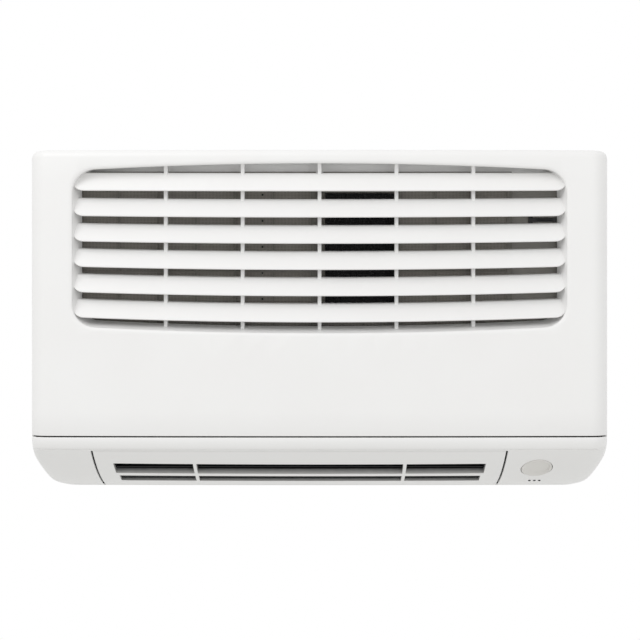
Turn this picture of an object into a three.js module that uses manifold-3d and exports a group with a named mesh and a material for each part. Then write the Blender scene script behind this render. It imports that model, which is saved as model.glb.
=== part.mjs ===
// Wall-hung indoor unit of a split air conditioner, as an assembly of separate pieces.
// Millimetres. X runs to the right, Y into the wall and Z up. The origin is the middle of the wall face.
import * as THREE from "three";
import { mergeVertices } from "three/addons/utils/BufferGeometryUtils.js";
import Module from "manifold-3d";

const wasm = await Module();
wasm.setup();

// ---- Driving dimensions: outer form ----
const width = 609;
const height = 362;
const topAboveOrigin = 175;
const depth = 189;
const frontCrown = 4; // how far the middle of the front bulges past its ends
const wall = 2.5;
const topEdgeRadius = 8;
const bottomEdgeRadius = 9;
const chinLeanHeight = 38; // the sides lean in from this far above the bottom
const chinLean = 0.22; // by this share of the drop
const planCornerRadius = 22;
const panelHeight = 299.7; // from the top down to the parting line
const panelReturn = 24; // depth of the panel's sides and top lip
const partingGap = 1.2;
const bandHeight = 15; // from the parting line down to the crease of the chin
const bandSetback = 3;
const lowerFaceRun = 96; // how far the sloping lower face runs back
const lowerFaceLift = 1; // the lower face ends this far above the bottom
const lowerFaceBulge = 3.8;

// ---- Intake louvre ----
const openingWidth = 517;
const openingBelowTop = 14.6;
const openingHeight = 177.2;
const openingBow = 6.3; // the upper edge arches up, the lower edge sags by this much
const openingCornerRadius = 19;
const openingBevel = 3.5;
const bladeCount = 6;
const bladePitch = 27.3;
const bladeFaceHeight = 17.7;
const bladeFaceRun = 10;
const bladeFlangeRise = 4.5;
const bladeFlangeRun = 9;
const bladeThickness = 2;
const bladeSag = 2;
const firstBladeBelowTop = 43.3; // lower edge of the highest blade
const ribCount = 5;
const ribPitch = 80.4;
const ribWidth = 4;
const ribOverlap = 0.5; // how far a rib reaches into the blades' upper edges
const louvreTaper = 7; // how far the recess walls lean in

// ---- Outlet grille in the lower face ----
const grilleWidth = 435.5;
const grilleCentreX = -21.2;
const grilleStart = 2; // along the slope, from the crease
const slotStart = 27;
const slotWidths = [26.5, 20.6];
const slotBar = 12.5;
const slotInset = 18.8; // from the grille's ends
const slotRibX = [-133, 91];
const slotRibWidth = 3.5;

// ---- Push pad and lamps ----
const padX = 232;
const padWidth = 32;
const padLength = 42;
const padAlong = 41.6; // along the slope, from the crease
const padTravel = 1.2;
const padDish = 1.4;
const lampX = [230.5, 235.9, 241.3];
const lampAlong = 83.2;
const lampRadius = 1.5;
const lampFlange = 0.5;

// ---- Air path ----
const fanRadius = 45;
const fanY = -88;
const fanZ = -75;
const fanBladeCount = 16;
const fanBladeDepth = 9;
const fanBladeThickness = 1.3;
const fanBladeLean = 35; // degrees
const ductLeft = -238;
const ductRight = 196;
const ductWall = 2.5;
const fanEndGap = 3;
const coilThickness = 26;
const coilLeft = -262;
const coilRight = 190;
const coilPlate = 1.2;
const coilTubeRadius = 3.5;
const frontCoilHeight = 116;
const rearCoilLength = 140;
const rearCoilLean = 36.6; // degrees from upright

// ---- Vanes ----
const flowDrop = 0.79; // share of the outlet flow that points down; the rest points forward
const flapY = -130;
const flapZ = -152;
const flapChord = 24;
const flapThickness = 2.4;
const vaneCount = 8;
const vanePitch = 52;
const vaneChord = 18;
const vaneHeight = 60;
const vaneThickness = 1.4;
const vaneToFlap = 24; // between the two pivots, along the flow
const vanePinRadius = 1.5;
const linkPinRadius = 1;
const linkOffset = 6.5;

// ---- Filters ----
const filterThickness = 1.9;
const filterBar = 5;
const filterHeight = 178;
const filterTopBelowTop = 21;
const meshThickness = 0.4;

// ---- Clearances ----
const gap = 0.3; // between pieces that touch
const runningGap = 0.5; // between pieces that turn or slide

// ---- Derived places ----
const half = width / 2;
const topZ = topAboveOrigin;
const bottomZ = topZ - height;
const seamZ = topZ - panelHeight;
const creaseZ = seamZ - bandHeight;
const partingY = -depth + panelReturn;
const rearOfCabinet = -1;
const beyond = 2 * depth; // further than any piece reaches

const colours = { white: 0xf3f2ef, inside: 0xd9d8d4, black: 0x141414, steel: 0x9a9d9f, copper: 0xb87348 };
const white = () => plastic(colours.white, 0.45);
const inside = () => plastic(colours.inside, 0.6);
const black = () => plastic(colours.black, 0.6);

function plastic(color, roughness) {
  return new THREE.MeshStandardMaterial({ color, roughness, metalness: 0 });
}

function metal(color, roughness) {
  return new THREE.MeshStandardMaterial({ color, roughness, metalness: 1 });
}

// ---- Solids ----

// A closed geometry as a solid, turned the right way out.
function solidOf(geometry) {
  const bare = new THREE.BufferGeometry();
  bare.setAttribute("position", geometry.getAttribute("position"));
  if (geometry.index) bare.setIndex(geometry.index);
  const merged = mergeVertices(bare, 1e-4);
  const triVerts = new Uint32Array(merged.index.array);
  const vertProperties = new Float32Array(merged.attributes.position.array);
  const made = new wasm.Manifold(new wasm.Mesh({ numProp: 3, vertProperties, triVerts }));
  if (made.volume() >= 0) return made;
  for (let i = 0; i < triVerts.length; i += 3) {
    [triVerts[i + 1], triVerts[i + 2]] = [triVerts[i + 2], triVerts[i + 1]];
  }
  return new wasm.Manifold(new wasm.Mesh({ numProp: 3, vertProperties, triVerts }));
}

function geometryOf(solid) {
  const mesh = solid.getMesh();
  const positions = new Float32Array(mesh.numVert * 3);
  for (let i = 0; i < mesh.numVert; i++) {
    positions.set(mesh.vertProperties.subarray(i * mesh.numProp, i * mesh.numProp + 3), i * 3);
  }
  const geometry = new THREE.BufferGeometry();
  geometry.setAttribute("position", new THREE.BufferAttribute(positions, 3));
  geometry.setIndex(new THREE.BufferAttribute(new Uint32Array(mesh.triVerts), 1));
  geometry.computeVertexNormals();
  return geometry;
}

const join = (first, ...others) => others.reduce((sum, other) => sum.add(other), first);
const cut = (first, ...others) => others.reduce((rest, other) => rest.subtract(other), first);

function block(x0, x1, y0, y1, z0, z1) {
  const geometry = new THREE.BoxGeometry(x1 - x0, y1 - y0, z1 - z0);
  geometry.translate((x0 + x1) / 2, (y0 + y1) / 2, (z0 + z1) / 2);
  return solidOf(geometry);
}

// A prism along X with the outline [y, z] of its section.
function prismX(outline, x0, x1) {
  const shape = new THREE.Shape(outline.map(([y, z]) => new THREE.Vector2(y, z)));
  const geometry = new THREE.ExtrudeGeometry(shape, { depth: x1 - x0, bevelEnabled: false });
  const turn = new THREE.Matrix4().makeBasis(
    new THREE.Vector3(0, 1, 0), new THREE.Vector3(0, 0, 1), new THREE.Vector3(1, 0, 0));
  geometry.applyMatrix4(turn.setPosition(x0, 0, 0));
  return solidOf(geometry);
}

// A round bar along X.
function barX(radius, x0, x1, y, z, sides = 16) {
  const geometry = new THREE.CylinderGeometry(radius, radius, x1 - x0, sides);
  geometry.rotateZ(-Math.PI / 2).translate((x0 + x1) / 2, y, z);
  return solidOf(geometry);
}

// A round bar along Y.
function barY(radius, y0, y1, x, z, sides = 16) {
  const geometry = new THREE.CylinderGeometry(radius, radius, y1 - y0, sides);
  geometry.translate(x, (y0 + y1) / 2, z);
  return solidOf(geometry);
}

// A round bar along the local Z of a frame.
function barIn(frame, radius, from, to, x = 0, y = 0, sides = 16) {
  const geometry = new THREE.CylinderGeometry(radius, radius, to - from, sides);
  geometry.rotateX(Math.PI / 2).translate(x, y, (from + to) / 2).applyMatrix4(frame);
  return solidOf(geometry);
}

function blockIn(frame, x0, x1, y0, y1, z0, z1) {
  const geometry = new THREE.BoxGeometry(x1 - x0, y1 - y0, z1 - z0);
  geometry.translate((x0 + x1) / 2, (y0 + y1) / 2, (z0 + z1) / 2).applyMatrix4(frame);
  return solidOf(geometry);
}

// A solid through closed rings of equally many points, capped at both ends.
// flat gives a ring point's place in the plane in which the caps are filled.
function loft(rings, flat) {
  const turned = THREE.ShapeUtils.area(rings[0].map(flat)) < 0;
  const turns = rings.map((ring) => (turned ? [...ring].reverse() : ring));
  const count = turns[0].length;
  const faces = [];
  for (let r = 0; r + 1 < turns.length; r++) {
    for (let i = 0; i < count; i++) {
      const a = r * count + i;
      const b = r * count + ((i + 1) % count);
      faces.push(a, b, b + count, a, b + count, a + count);
    }
  }
  const last = (turns.length - 1) * count;
  for (const [a, b, c] of THREE.ShapeUtils.triangulateShape(turns[0].map(flat), [])) {
    faces.push(a, c, b);
  }
  for (const [a, b, c] of THREE.ShapeUtils.triangulateShape(turns.at(-1).map(flat), [])) {
    faces.push(last + a, last + b, last + c);
  }
  const geometry = new THREE.BufferGeometry();
  const positions = turns.flat().flatMap((p) => [p.x, p.y, p.z]);
  geometry.setAttribute("position", new THREE.Float32BufferAttribute(positions, 3));
  geometry.setIndex(faces);
  return solidOf(geometry);
}

// A round tube or rod along a smooth path.
function tube(points, radius, sides = 8, steps = 12, tension = 0.2) {
  const stations = points.map((p) => new THREE.Vector3(...p));
  const path = new THREE.CatmullRomCurve3(stations, false, "catmullrom", tension);
  const section = new THREE.Shape();
  section.absarc(0, 0, radius, 0, 2 * Math.PI);
  return solidOf(new THREE.ExtrudeGeometry(section, { extrudePath: path, steps, curveSegments: sides / 2 }));
}

// ---- Outer form ----

const inPlan = (p) => new THREE.Vector2(p.x, p.y);
const inFront = (p) => new THREE.Vector2(p.x, p.z);
const crownAt = (x) => frontCrown * (1 - Math.min(1, (x / (half - planCornerRadius)) ** 2));
const frontY = (x) => -(depth - frontCrown) - crownAt(x);

// The lower face, seen from the side: how far it lies behind the front, and its height, at a
// share of its slope.
const slopeStart = new THREE.Vector2(bandSetback, creaseZ);
const slopeEnd = new THREE.Vector2(bandSetback + lowerFaceRun, bottomZ + lowerFaceLift);
const slopeLength = slopeStart.distanceTo(slopeEnd);
function slopeAt(share) {
  const along = slopeEnd.clone().sub(slopeStart);
  const out = new THREE.Vector2(along.y, -along.x).normalize();
  return slopeStart.clone().addScaledVector(along, share)
    .addScaledVector(out, 4 * lowerFaceBulge * share * (1 - share));
}

// A frame on the lower face: its origin on the surface, X along the unit, Y up the slope, Z outwards.
function slopeFrame(x, along) {
  const here = slopeAt(along / slopeLength);
  const next = slopeAt(along / slopeLength + 0.01);
  const up = new THREE.Vector3(0, here.x - next.x, here.y - next.y).normalize();
  const right = new THREE.Vector3(1, 0, 0);
  return new THREE.Matrix4().makeBasis(right, up, right.clone().cross(up))
    .setPosition(x, frontY(x) + here.x, here.y);
}

// Stations of the side profile from the bottom to the top: [set back, height].
function sideProfile() {
  const lower = [1, 0.85, 0.7, 0.55, 0.4, 0.25, 0.12, 0].map((share) => slopeAt(share).toArray());
  const band = [[bandSetback * 0.35, creaseZ + bandHeight * 0.45], [0, seamZ]];
  const top = [0, 30, 60, 90].map((degrees) => {
    const turn = THREE.MathUtils.degToRad(degrees);
    return [topEdgeRadius * (1 - Math.cos(turn)), topZ - topEdgeRadius * (1 - Math.sin(turn))];
  });
  return [[slopeEnd.x + lowerFaceLift, bottomZ], ...lower, ...band, ...top];
}

// A closed line's points moved inwards, square to it; the ends turn into level faces.
function profileInside(profile, inset) {
  const ends = [[profile[0][0] + depth, bottomZ], ...profile, [profile.at(-1)[0] + depth, topZ]];
  return profile.map((point, i) => {
    const [before, after] = [[ends[i], point], [point, ends[i + 2]]].map(([p, q]) => {
      const step = new THREE.Vector2(q[0] - p[0], q[1] - p[1]).normalize();
      return new THREE.Vector2(step.y, -step.x);
    });
    const middle = before.clone().add(after).normalize();
    const reach = inset / Math.max(0.4, middle.dot(after));
    return [point[0] + middle.x * reach, point[1] + middle.y * reach];
  });
}

// How far the sides are drawn in at a height, by the rounded upper and lower edges.
function sideDrawIn(z, inset) {
  const upper = z - (topZ - topEdgeRadius);
  const lower = bottomZ + bottomEdgeRadius - z;
  const [radius, past] = upper > 0 ? [topEdgeRadius - inset, upper] : [bottomEdgeRadius - inset, lower];
  const rounded = past > 0 ? radius - Math.sqrt(Math.max(0, radius ** 2 - past ** 2)) : 0;
  return rounded + chinLean * Math.max(0, bottomZ + chinLeanHeight - z);
}

// The outer form, drawn in by inset all over, from its front back to rear.
function envelope(inset, rear) {
  const rings = profileInside(sideProfile(), inset).map(([setBack, z]) => {
    const side = half - inset - sideDrawIn(z, inset);
    const corner = planCornerRadius - inset;
    const arc = (turn) => new THREE.Vector3(
      side - corner * (1 - Math.cos(turn)),
      -(depth - frontCrown) + setBack + corner * (1 - Math.sin(turn)), z);
    const right = [0, 22.5, 45, 67.5, 90].map((degrees) => arc(THREE.MathUtils.degToRad(degrees)));
    const front = [0.66, 0.33, 0].map((share) => new THREE.Vector3(
      share * (side - corner), -(depth - frontCrown) + setBack - frontCrown * (1 - share ** 2), z));
    const rightHalf = [new THREE.Vector3(side, rear, z), ...right, ...front];
    const leftHalf = rightHalf.slice(0, -1).reverse().map((p) => new THREE.Vector3(-p.x, p.y, p.z));
    return [...rightHalf, ...leftHalf];
  });
  return loft(rings, inPlan);
}

const skin = cut(envelope(0, rearOfCabinet), envelope(wall, rearOfCabinet + wall));
const innerRoom = envelope(wall + gap, rearOfCabinet);
const wallRoom = envelope(wall / 2, rearOfCabinet); // reaches into the middle of the cabinet's wall

// ---- Front panel and intake louvre ----

const openingTopZ = topZ - openingBelowTop;
const openingBottomZ = openingTopZ - openingHeight;

// The opening's outline grown by grow, set back from the bulging front by setBack.
function openingRing(grow, setBack) {
  const side = openingWidth / 2 + grow;
  const corner = openingCornerRadius + grow;
  const upper = openingTopZ - openingBow + grow;
  const lower = openingBottomZ + openingBow - grow;
  const ring = [];
  for (const [up, edge] of [[1, upper], [-1, lower]]) {
    const line = [];
    for (const degrees of [0, 30, 60, 90]) {
      const turn = THREE.MathUtils.degToRad(degrees);
      line.push([side - corner * (1 - Math.cos(turn)), edge - up * corner * (1 - Math.sin(turn))]);
    }
    for (const share of [0.75, 0.5, 0.25, 0]) {
      line.push([share * (side - corner), edge + up * openingBow * (1 - share ** 2)]);
    }
    const whole = [...line, ...line.slice(0, -1).reverse().map(([x, z]) => [-x, z])];
    ring.push(...(up > 0 ? whole : whole.reverse()));
  }
  return ring.map(([x, z]) => new THREE.Vector3(x, frontY(x) + setBack, z));
}

const hingeY = partingY + 2.3;
const hingeZ = topZ - 4;
const hingePinRadius = 1.5;
const hingePinLength = 22;
const hingeArmWidth = 6;
const hingeX = [-230, 0, 230];
const panelBottomZ = seamZ + partingGap / 2;

// The pull-down lip of the panel and its sides stay in front of the parting plane.
function frontPanel() {
  const keep = block(-half - wall, half + wall, -beyond, partingY - gap, panelBottomZ, topZ + wall);
  const opening = loft([
    openingRing(openingBevel, -2 * frontCrown),
    openingRing(openingBevel, 0),
    openingRing(0, wall * 0.8),
    openingRing(0, wall * 4),
  ], inFront);
  const arms = hingeX.map((x) => join(
    block(x - hingeArmWidth / 2, x + hingeArmWidth / 2, hingeY - 14, hingeY, hingeZ - 1.2, topZ - wall / 2),
    barX(hingePinRadius, x - hingePinLength / 2, x + hingePinLength / 2, hingeY, hingeZ, 12)));
  const clearOfLip = arms.map((arm) => cut(arm,
    block(-half, half, partingY - gap, 0, hingeZ + hingePinRadius, topZ + wall)));
  return join(cut(skin.intersect(keep), opening), ...clearOfLip);
}

// One blade along X: a leaning face whose lower edge comes forward, and a flange behind its upper edge.
function blade(lowerZ) {
  const count = 6;
  const reach = openingWidth / 2 + louvreTaper;
  const rings = [];
  for (let i = 0; i <= count; i++) {
    const x = reach * ((2 * i) / count - 1);
    const sag = bladeSag * (1 - (x / reach) ** 2);
    const y = frontY(x) + wall;
    const z = lowerZ - sag;
    const face = [y + bladeFaceRun, z + bladeFaceHeight];
    const flange = [face[0] + bladeFlangeRun, face[1] + bladeFlangeRise];
    const section = [
      [y, z], face, flange,
      [flange[0], flange[1] - bladeThickness],
      [face[0] + bladeThickness, face[1] - bladeThickness],
      [y + bladeThickness, z],
    ];
    rings.push(section.map(([py, pz]) => new THREE.Vector3(x, py, pz)));
  }
  return loft(rings, (p) => new THREE.Vector2(p.y, p.z));
}

const louvreRear = wall + bladeFaceRun + bladeFlangeRun;

function intakeLouvre() {
  const behindPanel = wall + gap;
  const outer = loft([
    openingRing(wall, behindPanel),
    openingRing(wall - louvreTaper + 1, louvreRear),
  ], inFront);
  const mouth = loft([
    openingRing(0, -2 * frontCrown),
    openingRing(0, behindPanel),
    openingRing(-louvreTaper, louvreRear + 1),
  ], inFront);
  const ring = cut(outer, mouth);
  const firstBladeZ = topZ - firstBladeBelowTop;
  const blades = Array.from({ length: bladeCount }, (_, i) => blade(firstBladeZ - i * bladePitch));
  const ribs = Array.from({ length: ribCount }, (_, i) => {
    const x = (i - (ribCount - 1) / 2) * ribPitch;
    const front = frontY(x) + wall + bladeFaceRun - ribOverlap;
    return block(x - ribWidth / 2, x + ribWidth / 2, front, frontY(x) + louvreRear,
      openingBottomZ - wall, openingTopZ + wall);
  });
  const inOpening = loft([
    openingRing(-gap, -2 * frontCrown),
    openingRing(-gap, behindPanel),
    openingRing(wall - 0.5, behindPanel + 0.01),
    openingRing(1 - louvreTaper, louvreRear + 1),
  ], inFront);
  return join(ring, join(...blades, ...ribs).intersect(inOpening));
}

// ---- Outlet grille ----

const grilleEnd = slopeLength - 1;

// A cutter through the lower face: a box in the slope's own frame at its middle point.
function slopeCutter(x0, x1, from, to, above, below) {
  const frame = slopeFrame(0, (from + to) / 2);
  const halfLength = (to - from) / 2;
  return blockIn(frame, x0, x1, -halfLength, halfLength, -below, above + frontCrown);
}

const grilleLeft = grilleCentreX - grilleWidth / 2;
const grilleRight = grilleCentreX + grilleWidth / 2;

// The region of the lower face that the grille fills, widened by grow.
function grilleRegion(grow) {
  const front = frontY(0) + slopeAt(grilleStart / slopeLength).x - grow;
  const rear = frontY(0) + slopeAt(grilleEnd / slopeLength).x + grow;
  const upper = creaseZ - grilleStart + grow;
  return block(grilleLeft - grow, grilleRight + grow, front, rear, bottomZ - wall, upper);
}

function outletGrille() {
  const face = skin.intersect(grilleRegion(-partingGap / 2));
  const starts = [slotStart, slotStart + slotWidths[0] + slotBar];
  const slots = starts.flatMap((start, row) => {
    const inset = slotInset + row * wall;
    const besideRibs = slotRibX.flatMap((x) => [x - slotRibWidth / 2, x + slotRibWidth / 2]);
    const edges = [grilleLeft + inset, ...besideRibs, grilleRight - inset];
    const end = start + slotWidths[row];
    return [0, 2, 4].map((i) => slopeCutter(edges[i], edges[i + 1], start, end, wall, 3 * wall));
  });
  return cut(face, ...slots);
}

// ---- Cabinet ----

const bulkheadFront = partingY + 6;
const bulkheadRear = bulkheadFront + wall;
const filterTopZ = topZ - filterTopBelowTop;
const filterBottomZ = filterTopZ - filterHeight;
const filterMiddleX = 4;
const filterRightX = 204;
const filterLeftX = -258;
const topVentCount = 18;
const topVentPitch = 26;
const topVentWidth = 14;
const topVentCentreX = grilleCentreX - 8;
const topVentFront = bulkheadRear + 12;
const topVentRear = -30;
const filterStopDepth = 3;
const hingeGrooveRear = partingY + 6.4;
const hingeSocketOffset = hingePinLength / 2 - 2.5;
const screwHoleRadius = 2.6;
const screwX = [ductLeft - ductWall - 7, ductRight + ductWall + 7];
const screwZ = seamZ + 14;

// A passage through the top wall, between the bulkhead and the back.
function topVent(i) {
  const x = topVentCentreX + (i - (topVentCount - 1) / 2) * topVentPitch;
  return block(x - topVentWidth / 2, x + topVentWidth / 2, topVentFront, topVentRear,
    topZ - 2 * wall, topZ + wall);
}

function cabinet() {
  const frontRoom = block(-half - wall, half + wall, -beyond, partingY, seamZ - partingGap / 2, topZ + wall);
  const hingeGroove = block(-half - wall, half + wall, partingY - wall, hingeGrooveRear,
    hingeZ - hingePinRadius + 0.1, topZ + wall);
  const bulkhead = block(-half, half, bulkheadFront, bulkheadRear, seamZ - wall, topZ).intersect(wallRoom);
  const windowX = [[filterLeftX, -filterMiddleX], [filterMiddleX, filterRightX]];
  const windows = windowX.map(([x0, x1]) => block(x0 + filterBar, x1 - filterBar,
    bulkheadFront - 1, bulkheadRear + 1, filterBottomZ + filterBar, filterTopZ - filterBar));
  const shelfTop = seamZ - partingGap / 2;
  const shelf = block(-half, half, -beyond, bulkheadRear, shelfTop - wall, shelfTop).intersect(wallRoom);
  const filterStop = block(filterLeftX, filterRightX, bulkheadFront - filterStopDepth, bulkheadFront + 1,
    filterBottomZ - gap - wall, filterBottomZ - gap);
  const socketX = hingeX.flatMap((x) => [x - hingeSocketOffset, x + hingeSocketOffset]);
  const vents = Array.from({ length: topVentCount }, (_, i) => topVent(i));
  const screwHoles = screwX.map((x) =>
    barY(screwHoleRadius, bulkheadFront - 1, bulkheadRear + 1, x, screwZ, 12));
  const closed = join(cut(skin, frontRoom), bulkhead, shelf, filterStop);
  const open = cut(closed, hingeGroove, grilleRegion(partingGap / 2));
  const seated = join(open, ...socketX.map(hingeSocket));
  return cut(seated, ...windows, ...vents, ...screwHoles, padHole(), ...lampX.map(lampHole));
}

// A seat under and behind a hinge pin, open towards the front.
function hingeSocket(x) {
  const seat = block(x - 1.5, x + 1.5, partingY - gap, bulkheadFront + 1, hingeZ - 6, hingeZ + 0.9);
  const notch = join(
    barX(hingePinRadius + gap, x - 3, x + 3, hingeY, hingeZ, 12),
    block(x - 3, x + 3, partingY - wall, hingeY, hingeZ - hingePinRadius - gap, hingeZ + wall));
  return cut(seat, notch);
}

const padFrame = slopeFrame(padX, padAlong);

// The pad's outline grown by grow, as a solid from one level to another in the pad's own frame.
function padOutline(grow, from, to) {
  const shape = new THREE.Shape();
  shape.absellipse(0, 0, padWidth / 2 + grow, padLength / 2 + grow, 0, 2 * Math.PI);
  const settings = { depth: to - from, bevelEnabled: false, curveSegments: 10 };
  return solidOf(new THREE.ExtrudeGeometry(shape, settings).translate(0, 0, from).applyMatrix4(padFrame));
}

const padHole = () => padOutline(runningGap, -3 * wall, 3 * wall);

// The point where a lamp's axis meets the lower face, in the frame of the pad.
const lampTip = (x) => new THREE.Vector3().setFromMatrixPosition(slopeFrame(x, lampAlong))
  .applyMatrix4(padFrame.clone().invert());

function lampHole(x) {
  const tip = lampTip(x);
  return barIn(padFrame, lampRadius + gap, tip.z - 3 * wall, tip.z + wall, tip.x, tip.y, 8);
}

// ---- Push pad, lamps and display board ----

const padFlange = 1.2;
const padFlangeWidth = 1.8;
const padRim = 2; // round the dish
const padStemRadius = 2.5;
const boardDepth = 11; // from the outer face to the display board
const boardThickness = 1.6;
const switchHeight = 4;
const padSink = 1.4; // the flat flange clears the curved wall above it

function manualButton() {
  const flangeTop = -wall - padSink;
  const flangeRear = flangeTop - padFlange;
  const stemEnd = -boardDepth + switchHeight + padTravel + gap;
  const pad = cut(padOutline(0, flangeRear, 0), padOutline(-padRim, -padDish, wall));
  const flange = padOutline(padFlangeWidth, flangeRear, flangeTop);
  const stem = barIn(padFrame, padStemRadius, stemEnd, flangeTop - padFlange / 2, 0, 0, 10);
  return join(pad, flange, stem);
}

function displayBoard() {
  return blockIn(padFrame, -14, 22, -62, 26, -boardDepth - boardThickness, -boardDepth);
}

function pushSwitch() {
  const base = blockIn(padFrame, -3, 3, -3, 3, -boardDepth + gap, -boardDepth + switchHeight - 1);
  return join(base, barIn(padFrame, 1.7, -boardDepth + 1, -boardDepth + switchHeight, 0, 0, 10));
}

function signalReceiver() {
  return blockIn(padFrame, 10, 16, 4, 11, -boardDepth + gap, -wall - padFlange - padTravel - 2 * gap - 1);
}

// A lamp stands on the display board, square to it, and its tip shows in the lower face.
function indicatorLamp(x) {
  const tip = lampTip(x);
  return join(
    barIn(padFrame, lampRadius, -boardDepth + 1, tip.z + 0.3, tip.x, tip.y, 8),
    barIn(padFrame, lampRadius + lampFlange, -boardDepth + gap, tip.z - wall - 1.5, tip.x, tip.y, 8));
}

// ---- Chassis, duct and drain pan ----

const chassisRear = -7;
const chassisFront = chassisRear - ductWall;
const chassisTop = topZ - wall - 2;
const chassisBottom = bottomZ + 11;
const pipeRecessTop = -122;
const tubPlaneZ = -22; // the level of both drain troughs' floors
const rearGuide = [[-41.5, tubPlaneZ], [-37, -60], [-38, -95], [-52, -128], [-75, -155], [-97, -171]];
const frontGuide = [[-139, -35], [-139, -85], [-147, -110], [-158, -148]];

// An open line of [y, z] points moved sideways, to the left of its direction.
function besideLine(line, distance) {
  return line.map((point, i) => {
    const before = line[Math.max(0, i - 1)];
    const after = line[Math.min(line.length - 1, i + 1)];
    const step = new THREE.Vector2(after[0] - before[0], after[1] - before[1]).normalize();
    return [point[0] - step.y * distance, point[1] + step.x * distance];
  });
}

// A wall of the given thickness along an open line.
const wallAlong = (line, thickness, x0, x1) =>
  prismX([...line, ...besideLine(line, thickness).reverse()], x0, x1);

const panFloorZ = -36;
const panRearY = -123.5;
const ductSideOutline = [...besideLine(rearGuide, ductWall / 2), [-116, -180],
  ...[...frontGuide].reverse().slice(0, -1),
  [frontGuide[0][0], panFloorZ - gap], [panRearY + gap, panFloorZ - gap], [panRearY + gap, tubPlaneZ]];
const shaftHole = 8;
const bearingHole = 13;
const flapPinRadius = 2;

function ductSide(x0, fanHoleRadius) {
  const side = prismX(ductSideOutline, x0, x0 + ductWall);
  return cut(side,
    barX(fanHoleRadius, x0 - 1, x0 + ductWall + 1, fanY, fanZ, 20),
    barX(flapPinRadius + gap, x0 - 1, x0 + ductWall + 1, flapY, flapZ, 12));
}

const hookX = [-150, 0, 150];
const hookWidth = 30;
const hookZ = 140;
const hookRise = 10;
const plateThickness = 1.2;
const screwRadius = 2;
const screwBossRear = bulkheadRear + 16.5;

function chassis() {
  const edge = half - wall - 2 * gap - chinLean * (bottomZ + chinLeanHeight - chassisBottom);
  const back = block(-edge, edge, chassisFront, chassisRear, chassisBottom, chassisTop);
  const rim = cut(
    block(-edge, edge, chassisRear - 1, -2, chassisBottom, chassisTop),
    block(-edge + ductWall, edge - ductWall, chassisRear - 2, 0,
      chassisBottom + ductWall, chassisTop - wall));
  const recess = block(-edge + 30, edge - 60, chassisFront - 1, chassisRear + 1,
    chassisBottom + 6, pipeRecessTop);
  const guide = wallAlong(rearGuide, ductWall, ductLeft - ductWall, ductRight + ductWall);
  const [guideTopY] = rearGuide[0];
  const troughRight = ductRight + ductWall + 1;
  const troughFloor = tubPlaneZ - ductWall;
  const trough = join(
    block(coilLeft, troughRight, guideTopY + 1, chassisFront + 0.5, troughFloor, tubPlaneZ - 0.5),
    block(coilLeft, troughRight, guideTopY - 1, guideTopY + ductWall + 1, troughFloor - 1, tubPlaneZ + 1.5));
  const slots = hookX.map((x) => block(x - hookWidth / 2 - 2, x + hookWidth / 2 + 2,
    chassisFront - 1, chassisRear + 1, hookZ - 12, hookZ + plateThickness + gap));
  const sides = join(ductSide(ductLeft - ductWall, bearingHole), ductSide(ductRight, shaftHole));
  const bosses = screwX.map((x) =>
    block(x - 7.5, x + 7.5, bulkheadRear + gap, screwBossRear, screwZ - 7, screwZ + 7));
  const pilots = screwX.map((x) =>
    barY(screwRadius + gap, bulkheadRear - 1, screwBossRear - 2, x, screwZ, 10));
  const whole = join(cut(back, recess), rim, guide, trough, sides, ...bosses).intersect(innerRoom);
  return cut(whole, ...slots, ...pilots);
}

const drainX = -254;
const drainY = -139;
const drainCollarTop = -35;
const frontCoilBottom = tubPlaneZ + 4;

function drainPan() {
  const x1 = ductRight + 4;
  const y0 = bulkheadRear + gap;
  const floor = block(coilLeft, x1, y0, panRearY, panFloorZ, panFloorZ + ductWall);
  const front = block(coilLeft, x1, y0, y0 + ductWall, panFloorZ, tubPlaneZ + 8);
  const rear = block(coilLeft, x1, panRearY - ductWall, panRearY, panFloorZ, frontCoilBottom - 1 - gap);
  const ends = [coilLeft, x1 - ductWall].map((x) =>
    block(x, x + ductWall, y0, panRearY, panFloorZ, tubPlaneZ));
  const guide = wallAlong(frontGuide, -ductWall, ductLeft + gap, ductRight - gap);
  const collar = barZ(7, panFloorZ - 10, drainCollarTop, drainX, drainY, 12);
  const bore = barZ(5, panFloorZ - 11, panFloorZ + 6, drainX, drainY, 12);
  return cut(join(floor, front, rear, ...ends, guide, collar), bore);
}

function barZ(radius, z0, z1, x, y, sides = 16) {
  const geometry = new THREE.CylinderGeometry(radius, radius, z1 - z0, sides);
  geometry.rotateX(Math.PI / 2).translate(x, y, (z0 + z1) / 2);
  return solidOf(geometry);
}

const drainSpoutEnd = [-282, -26, -158];

function drainSpout() {
  const [endX, endY, endZ] = drainSpoutEnd;
  const top = panFloorZ - 10 - gap;
  const path = [[drainX, drainY, top], [drainX, drainY, -88], [drainX, -100, -122], [drainX, -50, -146],
    [drainX - 8, endY, endZ], drainSpoutEnd];
  const bore = [[drainX, drainY, top + 1], ...path.slice(1, -1), [endX - 1, endY, endZ]];
  return cut(tube(path, 7, 10, 16), tube(bore, 4.5, 8, 16));
}

// ---- Evaporator ----

const coilFrontY = bulkheadRear + 4.5;
const coilRows = 4;

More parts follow.
